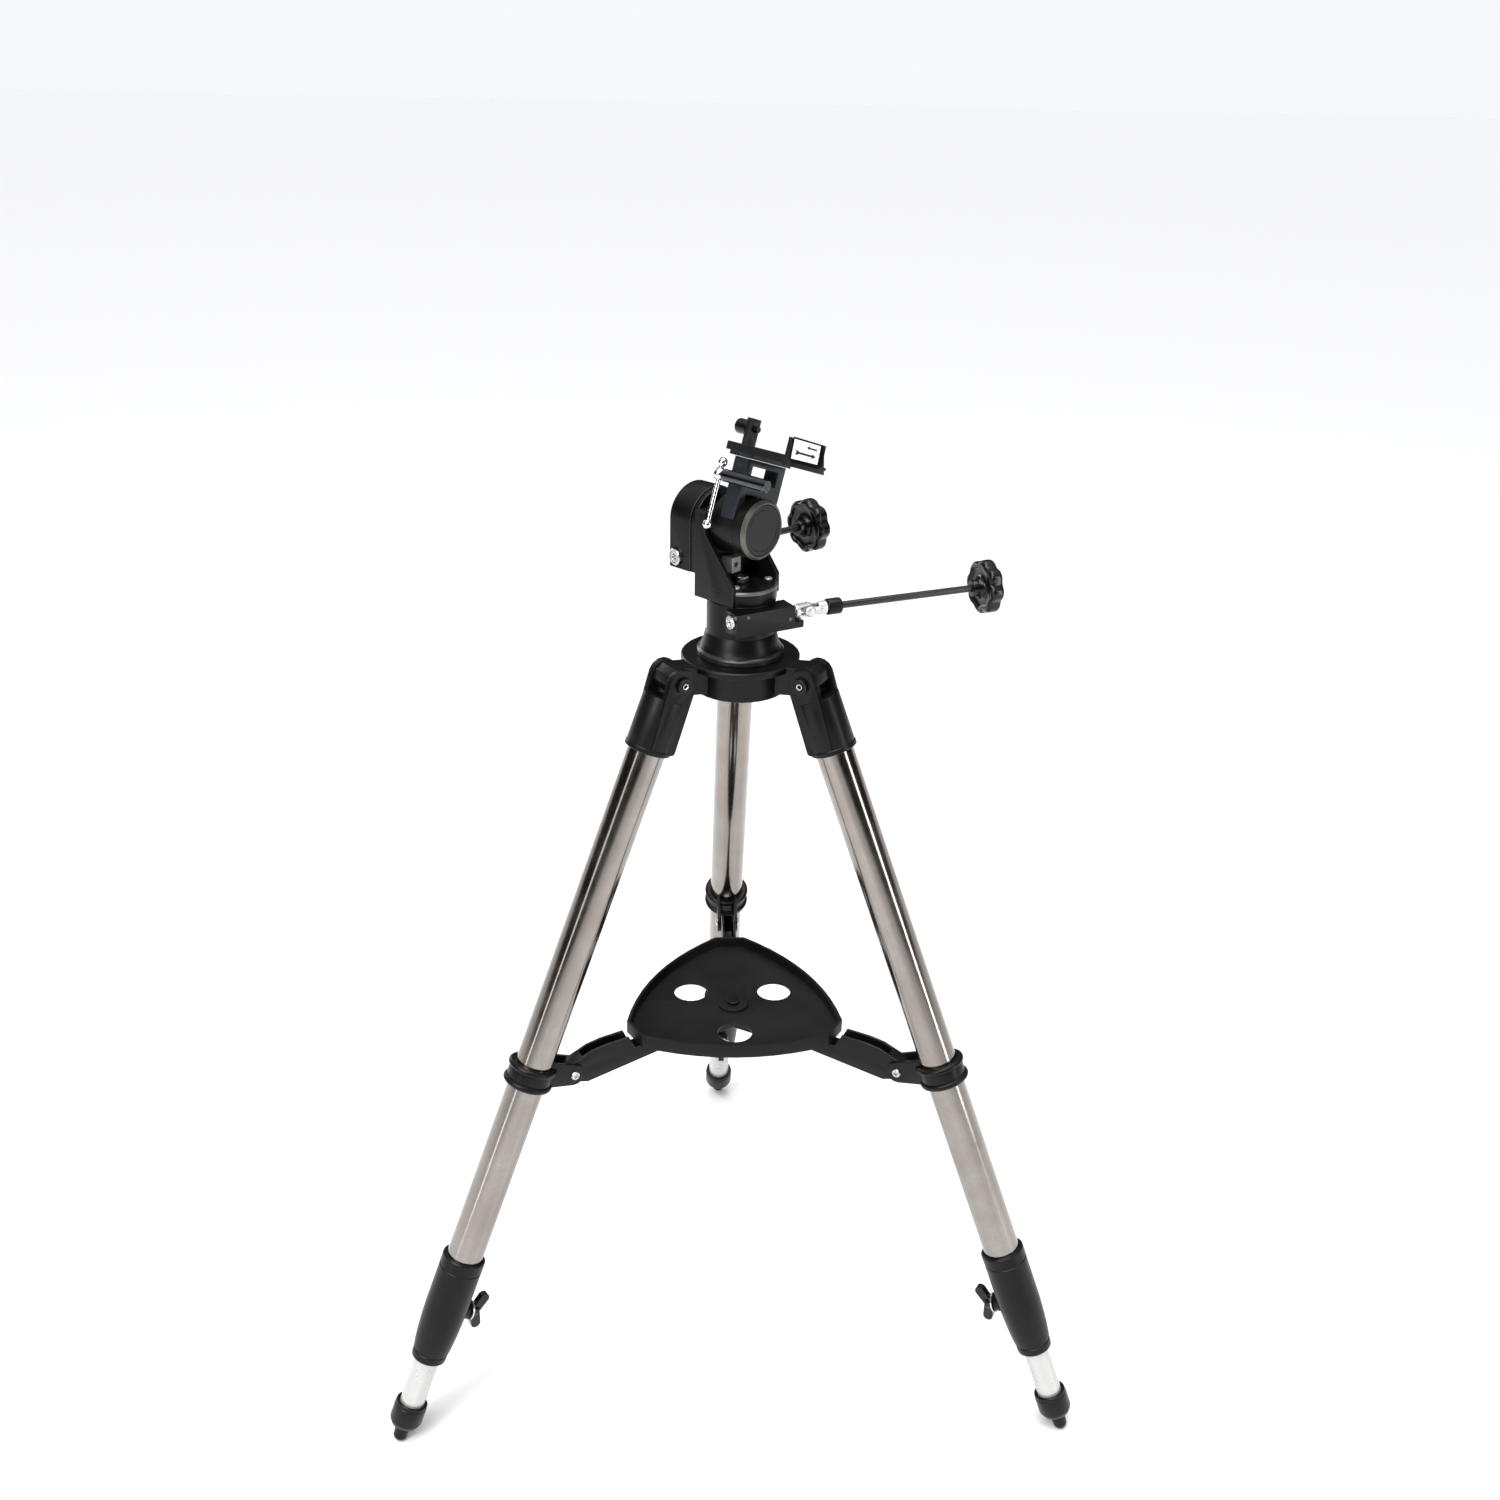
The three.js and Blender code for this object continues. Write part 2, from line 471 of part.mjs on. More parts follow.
function buildLeg(index) {
  const azimuth = LEG_AZIMUTHS[index];
  const upright = frame(mount, 0, 0, 0, 'XYZ', 0, 0, azimuth);
  const leg = frame(upright, LEG_PIVOT.radius, 0, LEG_PIVOT.z, 'XYZ', 0, -LEG_SPLAY, 0);
  const tag = `_${index + 1}`;
  const b = BRACKET;

  const socket = rod('z', b.bottom, b.top, b.outer);
  const cheekShape = hullOutline([[0, 0, b.eye], [-12, b.bottom + 5, 3], [5, b.bottom + 3, 3]]);
  const cheeks = [-1, 1].map((side) => {
    const ends = [side * b.cheekIn, side * b.cheekOut].sort((p, q) => p - q);
    return plate('y', ...ends, cheekShape);
  });
  const bore = rod('z', b.bottom - 1, UPPER_TUBE.top + GAP, UPPER_TUBE.outer + GAP);
  const body = cut(join(socket, ...cheeks), bore, rod('y', -30, 30, 5.3));
  piece(leg, `leg_bracket${tag}`, body, BLACK_PLASTIC);

  const bolt = join(rod('y', -b.cheekOut - 3, b.cheekOut + 3, 5), rod('y', b.cheekOut + GAP, b.cheekOut + 4, 6.6),
    rod('y', -b.cheekOut - 4, -b.cheekOut - GAP, 6.6));
  const sockets = [-1, 1].map((side) => {
    const ends = [side * (b.cheekOut + 1), side * (b.cheekOut + 6)].sort((p, q) => p - q);
    return rod('y', ...ends, 3.4, 0, 0, 3.4, 6);
  });
  piece(leg, `leg_pivot_bolt${tag}`, cut(bolt, ...sockets), BLACK_METAL);

  const u = UPPER_TUBE;
  const upper = cut(rod('z', u.bottom, u.top, u.outer), rod('z', u.bottom - 1, u.top + 1, u.inner));
  piece(leg, `leg_tube${tag}`, cut(upper, rod('x', -20, 0, 5.4, 0, WING_AT)), STEEL);

  const s = SLEEVE;
  const sleeve = turned([
    [0, s.bottom], [s.end - 1.5, s.bottom], [s.end, s.bottom + 1.5],
    [16.8, s.bottom + 14], [18.3, s.bottom + 30], [s.outer, s.bottom + 52], [s.outer, s.top - 1], [s.outer - 1, s.top], [0, s.top],
  ], 20);
  const boss = rod('x', -s.outer - 4.5, -LOWER_TUBE.outer - 1, 7.6, 0, WING_AT);
  const tubeBore = rod('z', u.bottom - GAP, s.top + 1, u.outer + GAP);
  const lowerBore = rod('z', s.bottom - 1, s.top, LOWER_TUBE.outer + GAP);
  const threads = rod('x', -40, 0, 3.4, 0, WING_AT);
  const clamp = cut(boss, box(-UPPER_TUBE.outer - GAP, 0, -9, 9, u.bottom - GAP, u.bottom + 12));
  piece(leg, `leg_sleeve${tag}`, cut(join(cut(sleeve, tubeBore), clamp), lowerBore, threads), BLACK_PLASTIC);

  const start = -s.outer - 4.8;
  const wing = join(
    rod('x', start - 1.8, start, 8, 0, WING_AT),
    rod('x', start - 8, start - 1.5, 6, 0, WING_AT),
    rod('x', start - 3, -LOWER_TUBE.outer - 1.6, 3, 0, WING_AT),
    plate('y', -3, 3, hullOutline([[start - 11, WING_AT + 13, 4.5], [start - 6, WING_AT, 4]])),
    plate('y', -3, 3, hullOutline([[start - 11, WING_AT - 13, 4.5], [start - 6, WING_AT, 4]])),
  );
  piece(leg, `wing_screw${tag}`, wing, GLOSS_BLACK);

  const l = LOWER_TUBE;
  const lower = cut(rod('z', l.bottom, l.top, l.outer), rod('z', l.bottom - 1, l.top + 1, l.inner));
  piece(leg, `lower_tube${tag}`, lower, SATIN_STEEL);
  const c = CUP;
  const cup = turned([
    [0, c.bottom - 6], [c.tip, c.bottom - 6], [c.tip + 0.5, c.bottom],
    [c.outer - 4.5, c.bottom], [c.outer, c.bottom + 6], [c.outer - 0.6, c.top], [0, c.top],
  ]);
  const cupBore = rod('z', l.bottom - GAP, c.top + 1, l.outer + GAP);
  const tip = ball(c.tip, 0, 0, -FOOT_END);
  const stem = rod('z', -FOOT_END, c.bottom - 5, c.tip);
  piece(leg, `foot${tag}`, cut(join(cup, stem, tip), cupBore), BLACK_PLASTIC);
  buildSpreader(upright, leg, tag);
}

function buildSpreader(upright, leg, tag) {
  // the collar sits on the tube; its ears reach in to the arm's pin
  const k = COLLAR;
  const splay = rad(LEG_SPLAY);
  const dx = ARM_PIVOT.radius - LEG_PIVOT.radius;
  const dz = ARM_PIVOT.z - LEG_PIVOT.z;
  const earX = dx * Math.cos(splay) + dz * Math.sin(splay);
  const earZ = -dx * Math.sin(splay) + dz * Math.cos(splay);
  const half = ARM_WIDTH / 2 + GAP;
  const band = rod('z', k.centre - k.height / 2, k.centre + k.height / 2, k.outer);
  const earShape = hullOutline([[earX, earZ, k.ear], [-12, k.centre + 3, 12]]);
  const ears = [-1, 1].map((side) => {
    const ends = [side * half, side * (half + 3)].sort((p, q) => p - q);
    return plate('y', ...ends, earShape);
  });
  const bore = rod('z', k.centre - 30, k.centre + 30, UPPER_TUBE.outer + GAP);
  const pinHole = rod('y', -20, 20, 2.6, earX, earZ);
  piece(leg, `spreader_collar${tag}`, cut(join(band, ...ears), bore, pinHole), BLACK_PLASTIC);

  // the arm is a channel, open upwards, that narrows to a neck under the tray
  const n = ARM_INNER;
  const side = new THREE.Shape();
  side.moveTo(n.radius, n.z - n.half);
  side.lineTo(84, n.z - n.half - 3.5);
  side.lineTo(153, 321.8);
  side.lineTo(ARM_PIVOT.radius - 2, 325.9);
  side.absarc(ARM_PIVOT.radius, ARM_PIVOT.z, 9.4, -Math.PI / 2, Math.PI / 2.4, false);
  side.lineTo(160, 348);
  side.lineTo(148, 352.4);
  side.lineTo(134, 354);
  side.lineTo(112, 354);
  side.lineTo(106, 341);
  side.lineTo(n.radius, n.z + n.half);
  side.absarc(n.radius, n.z, n.half, Math.PI / 2, Math.PI * 1.5, false);
  const channel = outline([[109, 330], [152, 325.5], [157, 330], [157, 370], [109, 370]]);
  const arm = cut(
    plate('y', -ARM_WIDTH / 2, ARM_WIDTH / 2, side, 6),
    plate('y', -ARM_WIDTH / 2 + 2, ARM_WIDTH / 2 - 2, channel),
    rod('y', -20, 20, 2.9, ARM_PIVOT.radius, ARM_PIVOT.z),
  );
  piece(upright, `spreader_arm${tag}`, arm, BLACK_METAL);
}

function trayOutline(inset) {
  // three straight corners along the legs, joined by shallow arcs
  const shape = new THREE.Shape();
  const corner = TRAY.corner - inset;
  const half = TRAY.cornerHalf - inset * 0.7;
  const points = LEG_AZIMUTHS.flatMap((azimuth) => [-half, half].map((offset) => {
    const angle = rad(azimuth);
    return new THREE.Vector2(
      corner * Math.cos(angle) - offset * Math.sin(angle),
      corner * Math.sin(angle) + offset * Math.cos(angle),
    );
  }));
  shape.moveTo(points[0].x, points[0].y);
  for (let i = 0; i < 6; i += 2) {
    const from = points[i + 1];
    const to = points[(i + 2) % 6];
    const bulge = from.clone().add(to).multiplyScalar(0.5);
    const direction = bulge.clone().normalize();
    const control = bulge.clone().addScaledVector(direction, 2 * (TRAY.side - inset - bulge.length()));
    shape.lineTo(from.x, from.y);
    shape.quadraticCurveTo(control.x, control.y, to.x, to.y);
  }
  return shape;
}

function buildTray() {
  const t = TRAY;
  const dish = cut(
    plate('z', t.bottom, t.top, trayOutline(0), 10),
    plate('z', t.floor, t.top + 1, trayOutline(t.wall), 10),
  );
  const holes = LEG_AZIMUTHS.map((azimuth) => rod('z', 300, 400, TRAY_HOLE.radius, TRAY_HOLE.circle, 0)
    .rotate([0, 0, azimuth + 180]));
  const body = cut(join(dish, rod('z', t.bottom, t.floor + 2.4, 14)), rod('z', 300, 400, 3.3), ...holes);
  piece(mount, 'tray', body, BLACK_PLASTIC);

  const h = SPREADER_HUB;
  const core = rod('z', h.bottom, t.bottom - GAP, h.radius);
  const ears = LEG_AZIMUTHS.flatMap((azimuth) => [-1, 1].map((side) => {
    const ends = [side * h.earIn, side * h.earOut].sort((p, q) => p - q);
    return box(0, h.earEnd, ...ends, h.bottom, t.bottom - GAP).rotate([0, 0, azimuth]);
  }));
  const slots = LEG_AZIMUTHS.map((azimuth) => box(h.radius - 0.2, 60, -h.earIn, h.earIn, 300, 400)
    .rotate([0, 0, azimuth]));
  const screw = join(rod('z', t.bottom - 4, t.floor + 4, 3), rod('z', t.floor + 2.7, t.floor + 5, 5.5));
  piece(mount, 'spreader_hub', join(cut(join(core, ...ears), ...slots), screw), BLACK_METAL);
}

buildHub();
buildPedestal();
buildAzimuthDrive();
buildControlRod();
buildHead();
LEG_AZIMUTHS.forEach((_, index) => buildLeg(index));
buildTray();

// The origin is on the floor, below the middle of the whole mount's box.
mount.updateMatrixWorld(true);
const extent = new THREE.Box3().setFromObject(mount, true);
mount.position.set(-(extent.min.x + extent.max.x) / 2, -(extent.min.y + extent.max.y) / 2, -extent.min.z);

export default mount;
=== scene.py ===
# %% [markdown]
# # An alt azimuth mount on a folding steel tripod
# The model that arrives from CAD is exact in size but faceted and bare. This notebook keeps
# every size and gives each piece the rounding, the small hardware and the finish that the real
# one has. Everything is in metres, standing on the floor at z = 0, with the front towards -Y.

# %% Load the frame
import json
import math

import bmesh
import bpy
from mathutils import Matrix, Vector


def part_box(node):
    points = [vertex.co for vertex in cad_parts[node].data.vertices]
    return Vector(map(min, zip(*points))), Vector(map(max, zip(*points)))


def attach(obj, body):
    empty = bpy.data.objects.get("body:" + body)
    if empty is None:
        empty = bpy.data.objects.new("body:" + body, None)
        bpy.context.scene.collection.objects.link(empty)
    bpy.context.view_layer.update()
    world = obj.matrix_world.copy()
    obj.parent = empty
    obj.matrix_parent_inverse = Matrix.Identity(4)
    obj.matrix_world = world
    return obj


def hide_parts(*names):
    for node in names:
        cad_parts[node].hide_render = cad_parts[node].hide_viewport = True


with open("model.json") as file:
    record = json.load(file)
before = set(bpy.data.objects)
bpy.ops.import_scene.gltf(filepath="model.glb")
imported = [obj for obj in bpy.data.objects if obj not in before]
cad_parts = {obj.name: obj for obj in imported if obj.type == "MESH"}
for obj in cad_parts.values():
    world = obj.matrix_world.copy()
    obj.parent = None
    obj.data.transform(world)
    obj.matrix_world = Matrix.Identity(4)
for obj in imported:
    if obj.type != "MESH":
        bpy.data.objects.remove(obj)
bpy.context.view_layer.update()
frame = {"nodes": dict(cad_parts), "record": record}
record = frame["record"]
joints = {joint["name"]: joint for joint in record["behaviour"]["joints"]}
body_of_node = {n: b for b, nodes in record["behaviour"]["bodies"].items() for n in nodes}
MM = 0.001

# %% [markdown]
# ## Camera, light and floor
# The camera stands in front and a little above the knobs, looking down about 25 degrees. It
# is placed first because every later choice is judged through it. A black mount on a white
# ground wants large soft panels: they draw long pale streaks down the steel tubes and leave the
# black castings dark, where a bright sky all round would turn them grey.

# %% Camera
CAMERA_AT = Vector((-0.06095, -1.40772, 1.21914))
CAMERA_YAW, CAMERA_PITCH, CAMERA_ROLL = (math.radians(v) for v in (3.066, 24.906, 1.359))
CAMERA_LENS = 41.116

forward = Vector((
    math.sin(CAMERA_YAW) * math.cos(CAMERA_PITCH),
    math.cos(CAMERA_YAW) * math.cos(CAMERA_PITCH),
    -math.sin(CAMERA_PITCH),
))
level = Vector((math.cos(CAMERA_YAW), -math.sin(CAMERA_YAW), 0.0))
upright = level.cross(forward)
right = math.cos(CAMERA_ROLL) * level + math.sin(CAMERA_ROLL) * upright
up = right.cross(forward)
camera = bpy.data.objects.new("camera", bpy.data.cameras.new("camera"))
camera.data.lens = CAMERA_LENS
camera.data.sensor_width = 36.0
camera.data.clip_end = 100.0
camera.matrix_world = Matrix.Translation(CAMERA_AT) @ Matrix((right, up, -forward)).transposed().to_4x4()
bpy.context.scene.collection.objects.link(camera)
bpy.context.scene.camera = camera
print("camera at", tuple(round(v, 3) for v in CAMERA_AT))

# %% Lights
LOOK_AT = Vector((0.0, -0.08, 0.5))
SUN_STRENGTH = 2.3
SUN_SOFTNESS = math.radians(40)
SUN_TURN = (math.radians(24), math.radians(-14), 0)


def soft_panel(name, at, width, height, power, colour=(1.0, 1.0, 1.0)):
    """A rectangular panel that faces the middle of the mount."""
    light = bpy.data.lights.new(name, "AREA")
    light.shape = "RECTANGLE"
    light.size, light.size_y = width, height
    light.energy = power
    light.color = colour
    panel = bpy.data.objects.new(name, light)
    panel.location = at
    panel.rotation_euler = (LOOK_AT - Vector(at)).to_track_quat("-Z", "Y").to_euler()
    bpy.context.scene.collection.objects.link(panel)
    return panel


soft_panel("key_panel", (-1.5, -1.9, 1.9), 0.7, 1.3, 30.0)
soft_panel("side_panel", (1.9, -1.2, 1.0), 0.35, 1.7, 13.0)
soft_panel("strip_panel", (-1.72, -1.4, 0.75), 0.17, 1.5, 2.8)
soft_panel("top_panel", (0.3, 0.2, 2.7), 1.5, 1.1, 22.0)
soft_panel("back_panel", (-1.3, 1.9, 1.2), 0.6, 1.5, 12.0)
sun = bpy.data.objects.new("room_light", bpy.data.lights.new("room_light", "SUN"))
sun.data.energy = SUN_STRENGTH
sun.data.angle = SUN_SOFTNESS
sun.rotation_euler = SUN_TURN
bpy.context.scene.collection.objects.link(sun)

# %% [markdown]
# The room is bright overhead and dim round the sides, as a studio with dark curtains is. The
# polished tubes mirror those sides, which gives each of them dark edges and one pale streak.
# What the camera sees directly beyond the floor is plain and pale.

# %% Room
ROOM_DIM, ROOM_BRIGHT, ROOM_BACKDROP = 0.025, 0.75, 0.96
DIM_UP_TO, BRIGHT_FROM = 0.3, 0.85
world = bpy.data.worlds.new("studio")
world.use_nodes = True
sky = world.node_tree
direction = sky.nodes.new("ShaderNodeTexCoord")
height = sky.nodes.new("ShaderNodeSeparateXYZ")
band = sky.nodes.new("ShaderNodeMapRange")
band.interpolation_type = "SMOOTHSTEP"
band.inputs["From Min"].default_value = DIM_UP_TO
band.inputs["From Max"].default_value = BRIGHT_FROM
band.inputs["To Min"].default_value = ROOM_DIM
band.inputs["To Max"].default_value = ROOM_BRIGHT
seen = sky.nodes.new("ShaderNodeLightPath")
choice = sky.nodes.new("ShaderNodeMix")
choice.inputs[3].default_value = ROOM_BACKDROP
sky.links.new(direction.outputs["Generated"], height.inputs[0])
sky.links.new(height.outputs["Z"], band.inputs["Value"])
sky.links.new(seen.outputs["Is Camera Ray"], choice.inputs[0])
sky.links.new(band.outputs["Result"], choice.inputs[2])
sky.links.new(choice.outputs[0], sky.nodes["Background"].inputs["Strength"])
sky.nodes["Background"].inputs["Color"].default_value = (0.97, 0.98, 1.0, 1.0)
bpy.context.scene.world = world
bpy.context.scene.view_settings.view_transform = "Standard"

# %% [markdown]
# The floor is one plain pale sheet, so that the black mount stands out and the tubes mirror
# something even. Their dark edges and pale streaks come from the dim room and the panels alone.

# %% Floor
FLOOR_SIZE = 30.0
FLOOR_COLOUR = (0.86, 0.86, 0.87, 1)
FLOOR_ROUGHNESS = 0.75
floor_form = bmesh.new()
bmesh.ops.create_grid(floor_form, x_segments=1, y_segments=1, size=FLOOR_SIZE / 2)
floor_mesh = bpy.data.meshes.new("floor")
floor_form.to_mesh(floor_mesh)
floor_form.free()
floor_paint = bpy.data.materials.new("floor_paint")
floor_paint.use_nodes = True
floor_shader = floor_paint.node_tree.nodes["Principled BSDF"]
floor_shader.inputs["Base Color"].default_value = FLOOR_COLOUR
floor_shader.inputs["Roughness"].default_value = FLOOR_ROUGHNESS
floor_mesh.materials.append(floor_paint)
floor = bpy.data.objects.new("floor", floor_mesh)
bpy.context.scene.collection.objects.link(floor)

# %% [markdown]
# ## Shared effects
# Three small shader groups carry what the finishes have in common. `paint_grain` is the fine
# orange peel of sprayed paint and moulded plastic. `drawn_lines` are the hair-thin marks that
# turning and polishing leave, stretched along one direction. `handling` is the uneven sheen and
# the faint dust that use leaves. Each reads a position stored on the piece, called `own`, that
# is counted from the piece's own axis, so the pattern follows the piece and never slides.


# %% Group helper
def new_group(name, inputs, outputs):
    """An empty shader node group with float or colour sockets."""
    tree = bpy.data.node_groups.new(name, "ShaderNodeTree")
    for label, kind, value in inputs:
        socket = tree.interface.new_socket(label, in_out="INPUT", socket_type=kind)
        if value is not None:
            socket.default_value = value
    for label, kind in outputs:
        tree.interface.new_socket(label, in_out="OUTPUT", socket_type=kind)
    return tree, tree.nodes.new("NodeGroupInput"), tree.nodes.new("NodeGroupOutput")


def noise(tree, vector, scale, detail=3.0, roughness=0.5):
    """A noise node fed by a vector and a scale socket or number."""
    node = tree.nodes.new("ShaderNodeTexNoise")
    node.inputs["Detail"].default_value = detail
    node.inputs["Roughness"].default_value = roughness
    tree.links.new(vector, node.inputs["Vector"])
    if isinstance(scale, float):
        node.inputs["Scale"].default_value = scale
    else:
        tree.links.new(scale, node.inputs["Scale"])
    return node.outputs["Fac"]


def remap(tree, value, low, high, to_low, to_high):
    """Maps low..high onto to_low..to_high; the last two may be sockets."""
    node = tree.nodes.new("ShaderNodeMapRange")
    node.inputs["From Min"].default_value = low
    node.inputs["From Max"].default_value = high
    tree.links.new(value, node.inputs["Value"])
    for socket, target in (("To Min", to_low), ("To Max", to_high)):
        if isinstance(target, float):
            node.inputs[socket].default_value = target
        else:
            tree.links.new(target, node.inputs[socket])
    return node.outputs["Result"]


def mixed(tree, factor, first, second):
    """A colour mix whose three inputs are sockets."""
    node = tree.nodes.new("ShaderNodeMix")
    node.data_type = "RGBA"
    tree.links.new(factor, node.inputs[0])
    tree.links.new(first, node.inputs[6])
    tree.links.new(second, node.inputs[7])
    return node.outputs[2]


# %% Paint grain
grain, g_in, g_out = new_group(
    "paint_grain",
    [("Vector", "NodeSocketVector", None), ("Scale", "NodeSocketFloat", 900.0)],
    [("Height", "NodeSocketFloat")],
)
fine = noise(grain, g_in.outputs["Vector"], g_in.outputs["Scale"], 2.0, 0.6)
grain.links.new(fine, g_out.inputs["Height"])

# %% Drawn lines
lines, l_in, l_out = new_group(
    "drawn_lines",
    [("Vector", "NodeSocketVector", None), ("Stretch", "NodeSocketVector", (1.0, 1.0, 1.0))],
    [("Height", "NodeSocketFloat"), ("Streak", "NodeSocketFloat")],
)
stretch = lines.nodes.new("ShaderNodeVectorMath")
stretch.operation = "MULTIPLY"
lines.links.new(l_in.outputs["Vector"], stretch.inputs[0])
lines.links.new(l_in.outputs["Stretch"], stretch.inputs[1])
lines.links.new(noise(lines, stretch.outputs[0], 900.0, 3.0, 0.7), l_out.inputs["Height"])
lines.links.new(noise(lines, stretch.outputs[0], 140.0, 2.0), l_out.inputs["Streak"])

# %% Handling
PATCH_SCALE, SPECK_SCALE = 34.0, 420.0
handling, h_in, h_out = new_group(
    "handling",
    [
        ("Vector", "NodeSocketVector", None),
        ("Colour", "NodeSocketColor", (0.5, 0.5, 0.5, 1)),
        ("Worn", "NodeSocketColor", (0.5, 0.5, 0.5, 1)),
        ("Smooth", "NodeSocketFloat", 0.3),
        ("Rough", "NodeSocketFloat", 0.5),
    ],
    [("Colour", "NodeSocketColor"), ("Roughness", "NodeSocketFloat")],
)
patch = noise(handling, h_in.outputs["Vector"], PATCH_SCALE, 5.0, 0.62)
speck = noise(handling, h_in.outputs["Vector"], SPECK_SCALE, 2.0)
cover = remap(handling, patch, 0.36, 0.72, 0.0, 1.0)
blend = handling.nodes.new("ShaderNodeMath")
blend.operation = "MULTIPLY"
handling.links.new(cover, blend.inputs[0])
handling.links.new(remap(handling, speck, 0.3, 0.7, 0.45, 1.0), blend.inputs[1])
handling.links.new(
    mixed(handling, blend.outputs[0], h_in.outputs["Colour"], h_in.outputs["Worn"]),
    h_out.inputs["Colour"],
)
sheen = remap(handling, patch, 0.3, 0.75, h_in.outputs["Smooth"], h_in.outputs["Rough"])
handling.links.new(sheen, h_out.inputs["Roughness"])
print("shader groups", [g.name for g in bpy.data.node_groups])

# %% [markdown]
# ## Finishes
# One function builds every finish from those groups: a base colour and a slightly worn colour,
# a range of roughness, a metal or not, and either grain or lines in the surface. Black pieces
# differ mostly in how they shine, so each black has its own roughness and grain: satin paint on
# the castings, fine texture on the leg fittings, rough texture on the tray, wet gloss on knobs.


# %% Finish builder
def finish(name, colour, worn, smooth, rough, metallic=0.0, grain_scale=None, depth=0.1,
           stretch=None, specular=0.5):
    """A material that reads the `own` position of its piece."""
    material = bpy.data.materials.new(name)
    material.use_nodes = True
    tree = material.node_tree
    shader = tree.nodes["Principled BSDF"]
    own = tree.nodes.new("ShaderNodeAttribute")
    own.attribute_name = "own"
    use = tree.nodes.new("ShaderNodeGroup")
    use.node_tree = handling
    use.inputs["Colour"].default_value = (*colour, 1)
    use.inputs["Worn"].default_value = (*worn, 1)
    use.inputs["Smooth"].default_value = smooth
    use.inputs["Rough"].default_value = rough
    tree.links.new(own.outputs["Vector"], use.inputs["Vector"])
    tree.links.new(use.outputs["Roughness"], shader.inputs["Roughness"])
    base = use.outputs["Colour"]
    bump = tree.nodes.new("ShaderNodeBump")
    bump.inputs["Strength"].default_value = depth
    bump.inputs["Distance"].default_value = 0.1 * MM
    surface = tree.nodes.new("ShaderNodeGroup")
    if stretch:
        surface.node_tree = lines
        surface.inputs["Stretch"].default_value = stretch
        streak = tree.nodes.new("ShaderNodeMix")
        streak.data_type = "RGBA"
        streak.blend_type = "MULTIPLY"
        streak.inputs[0].default_value = 0.3
        tree.links.new(base, streak.inputs[6])
        tree.links.new(surface.outputs["Streak"], streak.inputs[7])
        base = streak.outputs[2]
    else:
        surface.node_tree = grain
        surface.inputs["Scale"].default_value = grain_scale
    tree.links.new(own.outputs["Vector"], surface.inputs["Vector"])
    tree.links.new(surface.outputs["Height"], bump.inputs["Height"])
    tree.links.new(bump.outputs["Normal"], shader.inputs["Normal"])
    tree.links.new(base, shader.inputs["Base Color"])
    shader.inputs["Metallic"].default_value = metallic
    shader.inputs["Specular IOR Level"].default_value = specular
    return material


ALONG = (1.0, 1.0, 0.012)
AROUND = (0.02, 0.02, 1.0)

# %% Finishes of this mount
cast_black = finish("cast_black", (0.0026, 0.0025, 0.0025), (0.005, 0.0048, 0.0046), 0.3, 0.42,
                    grain_scale=1400.0, depth=0.25, specular=0.2)
fitting_black = finish("fitting_black", (0.0026, 0.0027, 0.003), (0.005, 0.005, 0.0053), 0.3, 0.42,
                       grain_scale=2200.0, depth=0.2, specular=0.2)
tray_black = finish("tray_black", (0.004, 0.004, 0.004), (0.008, 0.008, 0.008), 0.46, 0.6,
                    grain_scale=1700.0, depth=0.6, specular=0.2)
knob_black = finish("knob_black", (0.003, 0.003, 0.0033), (0.005, 0.005, 0.005), 0.16, 0.26,
                    grain_scale=500.0, depth=0.03, specular=0.34)
arm_blue_grey = finish("arm_blue_grey", (0.009, 0.0105, 0.014), (0.022, 0.025, 0.03), 0.28, 0.42,
                       grain_scale=1500.0, depth=0.35, specular=0.4)
saddle_black = finish("saddle_black", (0.005, 0.0053, 0.006), (0.012, 0.0125, 0.0135), 0.36, 0.52,
                      grain_scale=1100.0, depth=0.5, specular=0.3)
edge_grey = finish("edge_grey", (0.12, 0.115, 0.105), (0.19, 0.18, 0.165), 0.3, 0.42, metallic=0.6,
                   stretch=AROUND, depth=0.2)
tube_steel = finish("tube_steel", (0.33, 0.295, 0.265), (0.42, 0.39, 0.36), 0.12, 0.2, metallic=1.0,
                    stretch=ALONG, depth=0.05)
tube_satin = finish("tube_satin", (0.66, 0.655, 0.64), (0.72, 0.715, 0.7), 0.24, 0.34, metallic=0.55,
                    stretch=ALONG, depth=0.1)
zinc = finish("zinc", (0.62, 0.64, 0.67), (0.72, 0.72, 0.72), 0.2, 0.34, metallic=1.0,
              stretch=AROUND, depth=0.12)
bright_chrome = finish("bright_chrome", (0.84, 0.84, 0.85), (0.78, 0.78, 0.78), 0.1, 0.18,
                       metallic=1.0, stretch=AROUND, depth=0.02)
barrel_steel = finish("barrel_steel", (0.1, 0.105, 0.115), (0.15, 0.155, 0.165), 0.14, 0.26,
                      metallic=1.0, stretch=ALONG, depth=0.08)
rod_black = finish("rod_black", (0.03, 0.03, 0.032), (0.05, 0.05, 0.052), 0.2, 0.3, metallic=0.5,
                   stretch=ALONG, depth=0.06)
stop_grey = finish("stop_grey", (0.3, 0.29, 0.28), (0.42, 0.41, 0.4), 0.42, 0.6, metallic=0.3,
                   grain_scale=900.0, depth=0.5)
satin_bright = finish("satin_bright", (0.78, 0.78, 0.78), (0.7, 0.7, 0.7), 0.3, 0.4,
                      metallic=0.6, stretch=AROUND, depth=0.02)
# A lighter, shinier black that paints a highlight on the rolled edges of painted pieces and on the
# pedestal's skirt.
painted_edge_highlight = finish("painted_edge_highlight", (0.03, 0.029, 0.028), (0.055, 0.053, 0.05), 0.22, 0.34, metallic=0.5,
                   stretch=AROUND, depth=0.05)
gear_brass = finish("gear_brass", (0.6, 0.42, 0.16), (0.5, 0.34, 0.13), 0.25, 0.4, metallic=1.0,
                    stretch=AROUND, depth=0.1)
